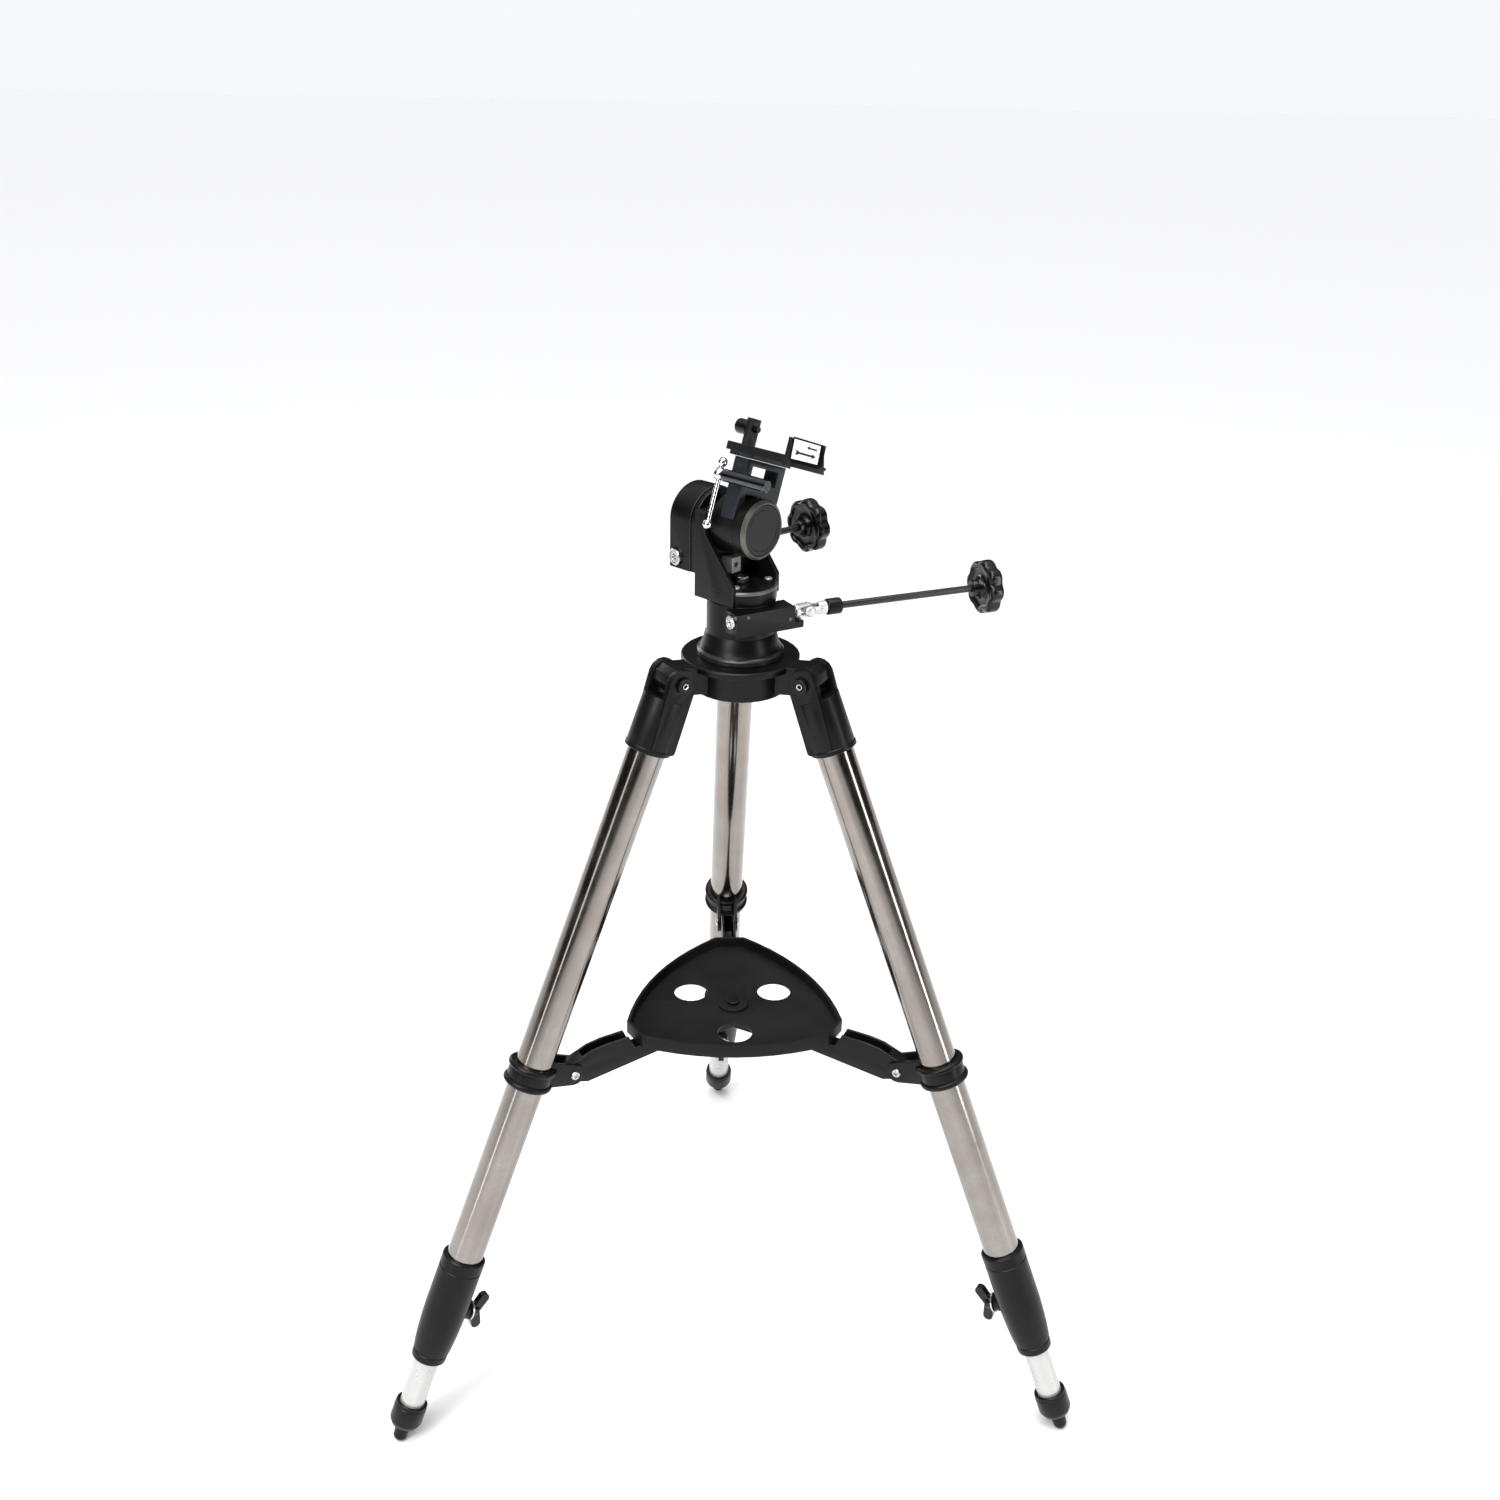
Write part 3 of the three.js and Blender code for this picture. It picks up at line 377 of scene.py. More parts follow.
label_white = finish("label_white", (0.8, 0.8, 0.79), (0.72, 0.72, 0.71), 0.3, 0.45,
                     grain_scale=600.0, depth=0.05)
label_ink = finish("label_ink", (0.012, 0.012, 0.014), (0.03, 0.03, 0.033), 0.35, 0.5,
                   grain_scale=600.0, depth=0.05)
print("finishes", len([m for m in bpy.data.materials if m.use_nodes]))

# %% [markdown]
# ## Places
# A turned piece is easiest to draw about its own axis, so each group of pieces has a place: an
# origin and three directions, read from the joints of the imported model. The head's place looks
# along the altitude axis, the arm's place leans back with the arm, and each leg's place slopes
# with its leg. A piece is drawn there in millimetres and then carried into the room.


# %% Places from the joints
def place(origin, x=None, y=None, z=None):
    """A 4x4 whose columns are the given directions; the missing one follows from the other two."""
    x, y, z = (Vector(v) if v is not None else None for v in (x, y, z))
    x = x if x is not None else y.cross(z)
    y = y if y is not None else z.cross(x)
    z = z if z is not None else x.cross(y)
    turn = Matrix((x.normalized(), y.normalized(), z.normalized())).transposed().to_4x4()
    return Matrix.Translation(Vector(origin)) @ turn


def axis(name):
    return Vector(joints[name]["axis"])


def at(name):
    return Vector(joints[name]["pos_m"])


UP = Vector((0, 0, 1))
head_place = place(at("altitude_tilt"), x=-axis("altitude_tilt"), z=UP)
arm_place = place(at("altitude_tilt"), x=-axis("altitude_tilt"), z=axis("tommy_slide"))
hub_place = place((at("azimuth_slew").x, at("azimuth_slew").y, 0.0), x=(1, 0, 0), z=UP)
worm_place = place(at("azimuth_worm_spin"), x=axis("azimuth_worm_spin"), z=UP)
rod_place = place(at("coupling_nod"), y=UP, z=axis("coupling_nod").cross(UP))
knob_shaft = place(at("altitude_worm_spin"), y=UP, z=axis("altitude_worm_spin"))
leg_places = {
    i: place(at(f"leg_fold_{i}"), y=axis(f"leg_fold_{i}"), z=-axis(f"leg_slide_{i}"))
    for i in (1, 2, 3)
}
print("leg places", {i: tuple(round(v, 3) for v in p.translation) for i, p in leg_places.items()})

# %% [markdown]
# ## Making pieces
# Two makers do most of the work. `turned` spins a profile about an axis, with as many steps as
# the eye needs, for everything that a lathe made. `rounded` takes a CAD node, merges its loose
# triangles, melts the flat faces together and rolls every hard edge over with a bevel, because
# no casting or moulding has a knife edge. On painted pieces the rolled edge gets a finish of its
# own, a little brighter, which paints a highlight along every hard edge. `settle` gives a piece
# its body, its finish and its stored `own` position.


# %% Settling a piece
def settle(piece, where, material, body, node=None, angle=32.0):
    """Stores `own`, carries the mesh from its place into the room and hands it to its body."""
    mesh = piece.data
    own = mesh.attributes.get("own") or mesh.attributes.new("own", "FLOAT_VECTOR", "POINT")
    own.data.foreach_set("vector", [c for v in mesh.vertices for c in v.co])
    mesh.transform(where)
    mesh.shade_smooth()
    mesh.set_sharp_from_angle(angle=math.radians(angle))
    # A piece that already holds the painted edge highlight keeps both of its slots.
    if len(mesh.materials) < 2:
        mesh.materials.clear()
        mesh.materials.append(material)
    mesh.update()
    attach(piece, body)
    if node:
        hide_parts(*([node] if isinstance(node, str) else node))
    return piece


def new_piece(name, form):
    """A linked object from a bmesh, with its doubles merged and its faces turned outwards."""
    bmesh.ops.remove_doubles(form, verts=form.verts, dist=1e-6)
    bmesh.ops.recalc_face_normals(form, faces=form.faces)
    mesh = bpy.data.meshes.new(name)
    form.to_mesh(mesh)
    form.free()
    piece = bpy.data.objects.new(name, mesh)
    bpy.context.scene.collection.objects.link(piece)
    return piece


def bake(piece):
    """Turns a piece and its modifiers into a plain mesh."""
    view = bpy.context.evaluated_depsgraph_get()
    view.update()
    plain = bpy.data.meshes.new_from_object(piece.evaluated_get(view))
    piece.modifiers.clear()
    piece.data = plain
    return piece


def bevelled(piece, width, steps=3, angle=35.0):
    """Rolls over the edges sharper than the angle."""
    edge = piece.modifiers.new("edge", "BEVEL")
    edge.width = width * MM
    edge.segments = steps
    edge.limit_method = "ANGLE"
    edge.angle_limit = math.radians(angle)
    edge.harden_normals = False
    # The bevel's new faces take the last slot, which on painted pieces is the painted edge highlight.
    edge.material = len(piece.data.materials) - 1
    return bake(piece)


# %% The turned maker
def turned_form(profile, steps=64, closed=False):
    """A bmesh spun about Z from (radius, height) points in millimetres."""
    form = bmesh.new()
    rings = []
    for radius, height in profile:
        if radius < 1e-6:
            rings.append([form.verts.new((0, 0, height * MM))])
            continue
        rings.append([
            form.verts.new((
                radius * MM * math.cos(2 * math.pi * k / steps),
                radius * MM * math.sin(2 * math.pi * k / steps),
                height * MM,
            ))
            for k in range(steps)
        ])
    pairs = list(zip(rings, rings[1:]))
    if closed:
        pairs.append((rings[-1], rings[0]))
    for low, high in pairs:
        if len(low) == len(high) == 1:
            continue
        for k in range(steps):
            n = (k + 1) % steps
            corners = [low[k % len(low)], low[n % len(low)], high[n % len(high)], high[k % len(high)]]
            form.faces.new(list(dict.fromkeys(corners)))
    return form


def turned(name, where, profile, material, body, node=None, steps=64, closed=False,
           bevel=0.0):
    """A piece spun about the place's Z."""
    piece = new_piece(name, turned_form(profile, steps, closed))
    if bevel:
        bevelled(piece, bevel, 2, 30.0)
    return settle(piece, where, material, body, node)


def arc(radius, height, size, start, end, steps=6):
    """Points round a corner or a ball, from one angle to another, in degrees."""
    angles = [math.radians(start + (end - start) * k / steps) for k in range(steps + 1)]
    return [(max(radius + size * math.cos(a), 0.0), height + size * math.sin(a)) for a in angles]


# %% The rounded maker
EDGE_HIGHLIGHTED = (cast_black, fitting_black)


def rounded(node, where, material, width=0.6, steps=3, name=None):
    """A CAD node's own shape with its flats melted together and its edges rolled over."""
    form = bmesh.new()
    form.from_mesh(frame["nodes"][node].data)
    bmesh.ops.transform(form, matrix=where.inverted(), verts=form.verts)
    bmesh.ops.remove_doubles(form, verts=form.verts, dist=2e-6)
    bmesh.ops.dissolve_limit(
        form, angle_limit=math.radians(1.0), verts=form.verts, edges=form.edges,
    )
    mesh = bpy.data.meshes.new(name or f"{node}_shape")
    form.to_mesh(mesh)
    form.free()
    piece = bpy.data.objects.new(name or f"{node}_shape", mesh)
    bpy.context.scene.collection.objects.link(piece)
    if width:
        # Painted pieces get a second slot, a painted highlight for their rolled edges.
        if material in EDGE_HIGHLIGHTED:
            mesh.materials.append(material)
            mesh.materials.append(painted_edge_highlight)
        bevelled(piece, width, steps)
    return settle(piece, where, material, body_of_node[node], node)


# %% [markdown]
# ## Castings and plain fittings
# These pieces have the right shape already, so they only get their edges and their finish.

# %% Round the plain pieces
PLAIN = [
    ("tripod_hub", hub_place, cast_black, 1.0),
    ("head_bolt", hub_place, zinc, 0.5),
    ("pedestal", hub_place, cast_black, 0.5),
    ("azimuth_worm_case", worm_place, cast_black, 0.7),
    ("azimuth_worm", worm_place, tube_satin, 0.0),
    ("azimuth_wheel", hub_place, gear_brass, 0.0),
    ("coupling_cross", rod_place, satin_bright, 0.2),
    ("head_bracket", head_place, cast_black, 0.9),
    ("centre_bolt", head_place, zinc, 0.4),
    ("stop_block", head_place, stop_grey, 0.6),
    ("altitude_case", head_place, cast_black, 1.6),
    ("altitude_case_base", head_place, cast_black, 0.8),
    ("altitude_worm", knob_shaft, rod_black, 0.0),
    ("altitude_wheel", arm_place, gear_brass, 0.0),
    ("altitude_axle", arm_place, zinc, 0.3),
    ("saddle_arm", arm_place, arm_blue_grey, 0.5),
    ("saddle", arm_place, saddle_black, 0.6),
    ("direction_plate", arm_place, cast_black, 0.0),
    ("spreader_hub", hub_place, cast_black, 0.4),
    ("tray", hub_place, tray_black, 0.7),
]
for node, where, material, width in PLAIN:
    rounded(node, where, material, width)
for i, where in leg_places.items():
    rounded(f"leg_bracket_{i}", where, fitting_black, 0.9)
    rounded(f"leg_pivot_bolt_{i}", where, cast_black, 0.5)
    rounded(f"wing_screw_{i}", where, knob_black, 1.5, 4)
    rounded(f"spreader_collar_{i}", where, fitting_black, 0.8)
    rounded(f"spreader_arm_{i}", where, cast_black, 0.5)
print("rounded pieces", len(PLAIN) + 5 * len(leg_places))

# %% [markdown]
# ## Legs
# Each leg is a polished steel tube in a black socket, a tapering clamp sleeve low down with a
# wing screw on its inner side, a thinner satin tube that slides in it, and a cup foot with a
# rounded rubber tip. All of them came off a lathe or out of a round mould, so they are turned.

# %% Leg profiles
TUBE = [(14.5, -604), (15.4, -604), (16, -603.4), (16, -21.6), (15.4, -21), (14.5, -21)]
SLIDER = [(9.6, -719), (10.6, -719), (11, -718.6), (11, -268.4), (10.6, -268), (9.6, -268)]
SLEEVE = [
    (11.3, -651), (14.2, -651), *arc(14.2, -649.6, 1.4, -80, 0, 4), (15.7, -644.5), (15.2, -643.9),
    (15.3, -642.6), (16.1, -642), (16.9, -636.5), (17.9, -626), (18.7, -612), (19.1, -599),
    (19.1, -558.5), (18.6, -557.9), (18.6, -556.3), (19.2, -555.7), (19.2, -547.6), (18.4, -546.4),
    (17.4, -546), (16.3, -546), (16.3, -604.3), (11.3, -604.3),
]
CUP = [
    (0, -719.3), (11.3, -719.3), (11.3, -698.4), (11.8, -698), (13.6, -698), (14.2, -698.6),
    (14.2, -701.2), (14.6, -701.8), (14.6, -716.4), (14.0, -718), (11.9, -721.6), (10.4, -722.6),
    (8.0, -723), (7.2, -723.6), *arc(0, -732.9, 6.2, 8, -90, 8),
]
SOCKET_LIP = [(18.6, -58.4), (18.6, -63.2), (19.7, -62.4), (19.8, -59.4), (19.3, -58.6)]

for i, where in leg_places.items():
    turned(f"leg_tube_{i}_steel", where, TUBE, tube_steel, f"leg_{i}", f"leg_tube_{i}", closed=True)
    turned(f"lower_tube_{i}_steel", where, SLIDER, tube_satin, f"lower_leg_{i}", f"lower_tube_{i}",
           closed=True)
    turned(f"leg_sleeve_{i}_barrel", where, SLEEVE, fitting_black, f"leg_{i}", f"leg_sleeve_{i}",
           closed=True)
    turned(f"foot_{i}_cup", where, CUP, fitting_black, f"lower_leg_{i}", f"foot_{i}")
    turned(f"socket_lip_{i}", where, SOCKET_LIP, fitting_black, f"leg_{i}",
           closed=True)

# %% [markdown]
# Under each wing screw sits a zinc washer, and the boss that takes its thread stands out of the
# sleeve. Both look along the screw, so they are turned about a place of their own.

# %% Pivot sockets
PIVOT_SOCKET = [(1.7, 19.0), (3.1, 19.0), (3.1, 21.0), (2.7, 21.5), (2.1, 21.5), (1.7, 21.0)]
for i, where in leg_places.items():
    for side, word in ((-1, "right"), (1, "left")):
        pivot = where @ place((0, 0, 0), x=(1, 0, 0), z=(0, side, 0))
        turned(f"pivot_socket_{word}_{i}", pivot, PIVOT_SOCKET, zinc, body_of_node[f"leg_pivot_bolt_{i}"],
               steps=6, closed=True)
print("pivot sockets", 2 * len(leg_places))

# %% Wing washers and bosses
WING_DOWN = -604
WASHER = [(3.4, 23.9), (8.6, 23.9), (9.0, 24.2), (9.0, 25.6), (8.6, 25.9), (3.4, 25.9)]
BOSS = [(3.4, 18.0), (8.2, 18.0), (7.8, 20.5), (7.6, 23.0), (7.2, 23.6), (3.4, 23.6)]
for i, where in leg_places.items():
    inward = where @ place((0, 0, WING_DOWN * MM), y=(0, 1, 0), z=(-1, 0, 0))
    turned(f"wing_washer_{i}", inward, WASHER, zinc, f"wing_{i}", closed=True)
    turned(f"wing_boss_{i}", inward, BOSS, fitting_black, f"leg_{i}", closed=True)
print("washers", len(leg_places))

# %% [markdown]
# The spreader collar is a moulded band with a rolled rim above and below, where it grips the
# tube. The rims are half-round rings that lie against the band.

# %% Collar rims
BAND_MIDDLE, BAND_HALF, RIM = -365.0, 7.4, 2.9
for i, where in leg_places.items():
    for side, word in ((-1, "low"), (1, "high")):
        rim = arc(18.7, BAND_MIDDLE + side * BAND_HALF, RIM, -100, 100, 10)
        turned(f"collar_rim_{word}_{i}", where, rim, fitting_black, f"leg_{i}",
               closed=True)
print("collar rims", 2 * len(leg_places))

# %% [markdown]
# ## Hand knobs
# The two knobs are the same moulding: a round disc with eight shallow finger hollows, a dished
# back with a hub for the shaft, and a softly rolled front. The disc is turned, and a Geometry
# Nodes tree then pulls its rim in eight times, more at the rim than at the hub. Because the rule
# is a tree with named sizes, one change to it would change both knobs alike.


# %% The scallop tree
def tree_with(name, sockets):
    """A geometry tree with a Geometry input and output and the named inputs."""
    tree = bpy.data.node_groups.new(name, "GeometryNodeTree")
    tree.interface.new_socket("Geometry", in_out="INPUT", socket_type="NodeSocketGeometry")
    ids = {}
    for label, kind in sockets:
        ids[label] = tree.interface.new_socket(label, in_out="INPUT", socket_type=kind).identifier
    tree.interface.new_socket("Geometry", in_out="OUTPUT", socket_type="NodeSocketGeometry")
    return tree, ids, tree.nodes.new("NodeGroupInput"), tree.nodes.new("NodeGroupOutput")


def sum_of(tree, operation, first, second=None):
    """A math node on sockets or numbers."""
    node = tree.nodes.new("ShaderNodeMath")
    node.operation = operation
    for k, value in enumerate((first, second)):
        if value is None:
            continue
        if isinstance(value, (int, float)):
            node.inputs[k].default_value = value
        else:
            tree.links.new(value, node.inputs[k])
    return node.outputs[0]


scallops, scallop_ids, s_in, s_out = tree_with("finger_scallops", [
    ("Lobes", "NodeSocketFloat"), ("Dip", "NodeSocketFloat"), ("Rim", "NodeSocketFloat"),
    ("Finish", "NodeSocketMaterial"),
])
spot = scallops.nodes.new("GeometryNodeInputPosition")
split = scallops.nodes.new("ShaderNodeSeparateXYZ")
scallops.links.new(spot.outputs[0], split.inputs[0])
turn = sum_of(scallops, "ARCTAN2", split.outputs[1], split.outputs[0])
wave = sum_of(scallops, "COSINE", sum_of(scallops, "MULTIPLY", turn, s_in.outputs["Lobes"]))
hollow = sum_of(scallops, "POWER", sum_of(scallops, "MULTIPLY_ADD", wave, -0.5), 1.5)
flat = scallops.nodes.new("ShaderNodeVectorMath")
flat.operation = "MULTIPLY"
flat.inputs[1].default_value = (1, 1, 0)
scallops.links.new(spot.outputs[0], flat.inputs[0])
reach = scallops.nodes.new("ShaderNodeVectorMath")
reach.operation = "LENGTH"
scallops.links.new(flat.outputs[0], reach.inputs[0])
share = sum_of(scallops, "DIVIDE", reach.outputs["Value"], s_in.outputs["Rim"])
pull = sum_of(scallops, "MULTIPLY", sum_of(scallops, "POWER", share, 3.0), hollow)
pull = sum_of(scallops, "MULTIPLY", pull, s_in.outputs["Dip"])
safe_reach = sum_of(scallops, "MAXIMUM", reach.outputs["Value"], 0.001)
pull = sum_of(scallops, "MULTIPLY", sum_of(scallops, "DIVIDE", pull, safe_reach), -1.0)
shift = scallops.nodes.new("ShaderNodeVectorMath")
shift.operation = "SCALE"
scallops.links.new(flat.outputs[0], shift.inputs[0])
scallops.links.new(pull, shift.inputs["Scale"])
move = scallops.nodes.new("GeometryNodeSetPosition")
real = scallops.nodes.new("GeometryNodeRealizeInstances")
paint = scallops.nodes.new("GeometryNodeSetMaterial")
scallops.links.new(s_in.outputs["Geometry"], move.inputs["Geometry"])
scallops.links.new(shift.outputs[0], move.inputs["Offset"])
scallops.links.new(move.outputs[0], real.inputs[0])
scallops.links.new(real.outputs[0], paint.inputs["Geometry"])
scallops.links.new(s_in.outputs["Finish"], paint.inputs["Material"])
scallops.links.new(paint.outputs[0], s_out.inputs[0])
print("scallop tree nodes", len(scallops.nodes))

# %% Hand knob profile
KNOB_RIM = 23.6
KNOB = [
    (3.4, 0.0), (6.0, 0.0), *arc(6.0, 0.8, 0.8, -80, 0, 3), (7.1, 4.6), (7.6, 7.0), (8.8, 8.9),
    (10.8, 10.0), (13.2, 10.3), (15.8, 9.9), (18.2, 8.9), *arc(20.0, 10.6, 2.9, 240, 290, 4),
    *arc(20.6, 11.4, 3.0, -62, 0, 6), *arc(20.2, 16.6, 3.4, 0, 84, 7), (16.0, 20.0), (10.0, 20.0),
    (5.0, 20.0), (0, 20.0),
]
SHAFT_HOLE = [(0, 12.0), (3.4, 12.0)]


def hand_knob(name, where, body, node):
    """A scalloped knob whose hub starts at the place and whose face looks along Z."""
    piece = new_piece(name, turned_form([*SHAFT_HOLE, *KNOB], 160))
    dent = piece.modifiers.new("scallops", "NODES")
    dent.node_group = scallops
    for label, value in (("Lobes", 8.0), ("Dip", 2.5 * MM), ("Rim", KNOB_RIM * MM), ("Finish", knob_black)):
        dent[scallop_ids[label]] = value
    bake(piece)
    return settle(piece, where, knob_black, body, node, angle=50.0)


def end_place(where, node, length):
    """The place moved along its Z so that Z = 0 is the given distance short of the node's far end."""
    low, high = (Vector(v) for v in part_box(node))
    middle = (low + high) / 2
    along = (where.inverted() @ middle).z
    return where @ Matrix.Translation((0, 0, along - length / 2 * MM))


hand_knob("azimuth_knob_moulding", end_place(rod_place, "azimuth_knob", 20.0), "control_rod",
          "azimuth_knob")
hand_knob("altitude_knob_moulding", end_place(knob_shaft, "altitude_knob", 20.0), "altitude_worm",
          "altitude_knob")

# %% Thin plates
def sheet_form(outlines, low, high):
    """Flat plates across Y from (x, z) outlines in millimetres."""
    form = bmesh.new()
    for outline in outlines:
        near = [form.verts.new((x * MM, low * MM, z * MM)) for x, z in outline]
        far = [form.verts.new((x * MM, high * MM, z * MM)) for x, z in outline]
        form.faces.new(near)
        form.faces.new(far[::-1])
        for k in range(len(outline)):
            n = (k + 1) % len(outline)
            form.faces.new((near[k], near[n], far[n], far[k]))
    return form


# %% Drilling
def drill(piece, where, radius, reach):
    """Cuts a round hole along the place's Z, the reach each way, in the piece's own coordinates."""
    tool = new_piece("drill", turned_form([(0, -reach), (radius, -reach), (radius, reach), (0, reach)], 32))
    tool.data.transform(where)
    hole = piece.modifiers.new("hole", "BOOLEAN")
    hole.object = tool
    hole.operation = "DIFFERENCE"
    hole.solver = "EXACT"
    hole.use_self = True
    bake(piece)
    bpy.data.objects.remove(tool)


# %% [markdown]
# ## Control rod and its joint
# The rod is one long turned bar. Its near end sits in a black collar with a rounded shoulder.
# Each half of the joint is a fork of two round-ended ears on a turned neck, drilled for the pin,
# and one pin ends in a bright domed head on each side, which is what catches the light. The ears
# and heads stay small enough to clear each other when the joint is bent as far as it goes.

# %% Rod, collar and pin heads
rod_end = (rod_place.inverted() @ Vector(end_place(rod_place, "azimuth_knob", 20.0).translation)).z / MM
ROD = [(0, 9.2), (2.6, 9.2), (3, 9.6), (3, rod_end + 11.0), (0, rod_end + 11.0)]
turned("control_rod_bar", rod_place, ROD, rod_black, "control_rod", "control_rod")
COLLAR = [(3.3, 16.6), *arc(5.6, 17.8, 1.2, -90, 0, 4), (6.8, 27.2), *arc(4.9, 28.0, 1.9, 0, 80, 5),
          (3.3, 29.9)]
turned("rod_collar", rod_place, COLLAR, fitting_black, "control_rod", closed=True)
EAR_ROUND = [(3 * math.cos(math.radians(a)), 3 * math.sin(math.radians(a))) for a in range(195, 346, 15)]


def fork(name, where, neck, body, node):
    """Two round-ended ears across the place's Y and a turned neck behind them along Z."""
    outline = [(-3.0, 9.6), (-3.0, 0.0), *EAR_ROUND, (3.0, 0.0), (3.0, 9.6)]
    form = sheet_form([outline], 3.5, 5.5)
    other = sheet_form([outline], -5.5, -3.5)
    for extra in (other, turned_form(neck, 48, True)):
        scrap = bpy.data.meshes.new("scrap")
        extra.to_mesh(scrap)
        extra.free()
        form.from_mesh(scrap)
        bpy.data.meshes.remove(scrap)
    piece = new_piece(name, form)
    bevelled(piece, 0.35, 2)
    drill(piece, Matrix.Rotation(math.radians(90), 4, "X"), 1.6, 9)
    return settle(piece, where, satin_bright, body, node)


worm_fork = place(at("coupling_swing"), y=UP, z=-axis("azimuth_worm_spin"))
rod_fork = place(at("coupling_nod"), y=axis("coupling_nod"), z=rod_place.to_3x3() @ UP)
fork("worm_fork", worm_fork, [(3.3, 8.8), (5.2, 8.8), (5.6, 9.3), (5.6, 12.6), (5.2, 13), (3.3, 13)],
     "azimuth_worm", "worm_yoke")
fork("rod_fork", rod_fork, [(3.3, 8.8), (5.2, 8.8), (5.6, 9.3), (5.6, 16), (5.2, 16.4), (3.3, 16.4)],
     "control_rod", "rod_yoke")
PIN_HEAD = [(0, 5.75), (4.3, 5.75), (4.6, 6.1), (4.6, 7.0), (4.2, 7.6), (3.2, 8.1), (2.0, 8.45), (0.9, 8.6),
            (0, 8.65)]
for side, word in ((-1, "front"), (1, "back")):
    pin = place(at("coupling_nod"), x=UP, z=axis("coupling_nod") * side)
    turned(f"joint_pin_{word}", pin, PIN_HEAD, satin_bright, "coupling_cross")
print("rod length", round(rod_end, 1))

# %% [markdown]
# Both worms run in bores that are closed at the far end by a silver plug with a raised rim and a
# dark dimple in its middle. The plug's reach is read from the CAD node, so it always fits.

# %% End plugs


def end_plug(name, where, node):
    """A plug that looks along the place's Z, as wide and as long as the node."""
    spots = [where.inverted() @ v.co / MM for v in frame["nodes"][node].data.vertices]
    r = max(math.hypot(p.x, p.y) for p in spots) - 0.3
    low, high = min(p.z for p in spots), max(p.z for p in spots)
    shape = [(0, low), (r, low), (r, high - 0.7), (r - 0.7, high), (r * 0.76, high),
             (r * 0.72, high - 0.9), (r * 0.66, high - 0.9), (r * 0.62, high - 0.3),
             (r * 0.42, high - 0.3), (r * 0.36, high - 1.2), (r * 0.3, high - 3.0), (0, high - 3.2)]
    turned(name, where, shape, zinc, body_of_node[node], node)
    print(name, round(r, 1), round(low, 1), round(high, 1))


end_plug("azimuth_plug", place(worm_place.translation, y=UP, z=-axis("azimuth_worm_spin")),
         "azimuth_end_plug")
end_plug("altitude_plug", place(knob_shaft.translation, y=UP, z=-axis("altitude_worm_spin")),
         "altitude_end_plug")

# %% [markdown]
# Two bands get a lighter finish than the paint, as painted highlights: the skirt of the pedestal,
# and the chamfer round the open front of the head's floor, which stops where the bracket's ribs stand.

# %% Bands of painted highlight
# A ring over the pedestal's flare whose lighter finish is a painted highlight.
SKIRT = [(33.6, 700.2), (34.2, 700.0), (36.15, 697.9), (36.15, 694.4), (35.6, 694.0), (33.6, 694.0)]
turned("pedestal_skirt", hub_place, SKIRT, painted_edge_highlight, body_of_node["pedestal"],
       steps=96, closed=True)
# The front part of a ring over the head floor's chamfer, pale grey as a painted highlight.
CHAMFER = [(27.6, -47.9), (28.2, -47.9), (29.15, -48.9), (29.15, -50.6), (28.6, -50.9), (27.6, -50.9)]
band = turned_form(CHAMFER, 96, True)
bmesh.ops.bisect_plane(
    band, geom=[*band.verts, *band.edges, *band.faces], plane_co=(15 * MM, 0, 0), plane_no=(1, 0, 0),
    clear_inner=True,
)
bmesh.ops.holes_fill(band, edges=band.edges, sides=0)
settle(new_piece("head_floor_chamfer", band), head_place, edge_grey, "head")

# %% [markdown]
# ## Altitude drum, cap and barrel
# The drum carries the arm. Its end cap has a pale chamfered ring round a black disc that lies
# a little lower, and the barrel is a plain dark bar with a turned end.

# %% Drum and cap
across = place(head_place.translation, x=UP, z=Vector(head_place.col[0][:3]))
DRUM = [(6.7, -14.9), (23.7, -14.9), (24.3, -14.3), (24.3, 9.6), (24.0, 9.9), (24.0, 10.5),
        (24.3, 10.8), (24.3, 17.6), (23.9, 18.0), (0, 18.0), (0, -6.0), (6.7, -6.0)]
turned("altitude_drum_casting", across, DRUM, cast_black, "saddle_arm", "altitude_drum", steps=96,
       closed=True)
RING = [(21.0, 18.3), (24.0, 18.3), (24.3, 18.6), (24.3, 19.9), (22.3, 22.0), (21.5, 22.0),
        (21.2, 21.7), (21.0, 20.0)]
turned("altitude_cap_ring", across, RING, edge_grey, "saddle_arm", "altitude_cap", steps=96, closed=True)
DISC = [(0, 18.4), (20.9, 18.4), (20.9, 21.0), (20.6, 21.3), (17.4, 21.3), (17.1, 21.1),
        (16.8, 21.1), (16.5, 21.3), (0, 21.3)]
turned("altitude_cap_disc", across, DISC, knob_black, "saddle_arm", steps=96)
print("drum place", tuple(round(v, 3) for v in across.translation))

# %% Barrel and tommy bar
barrel_place = arm_place @ place((0, -33 * MM, 35 * MM), x=(0, 0, 1), z=(1, 0, 0))
BARREL = [(2.3, -4), (4.4, -4), (5, -3.4), (5, 37.4), (4.6, 37.7), (4.6, 38.3), (5, 38.6), (5, 40.3),
          (4.3, 41), (0, 41), (0, 12), (2.3, 12)]
turned("clamp_barrel_bar", barrel_place, BARREL, barrel_steel, "saddle_arm", "clamp_barrel", closed=True)
bar_place = arm_place @ Matrix.Translation((-8.6 * MM, -33 * MM, 0))
HUB = [*arc(0, -8.9, 5.2, -90, 55, 12), (2, -4.3), (2, 10), (0, 10)]
hub = new_piece("tommy_screw_ball", turned_form(HUB, 48))
drill(hub, Matrix.Translation((0, 0, -8.6 * MM)) @ Matrix.Rotation(math.radians(90), 4, "Y"), 2.3, 9)
settle(hub, barrel_place, bright_chrome, "tommy_bar", "tommy_screw")
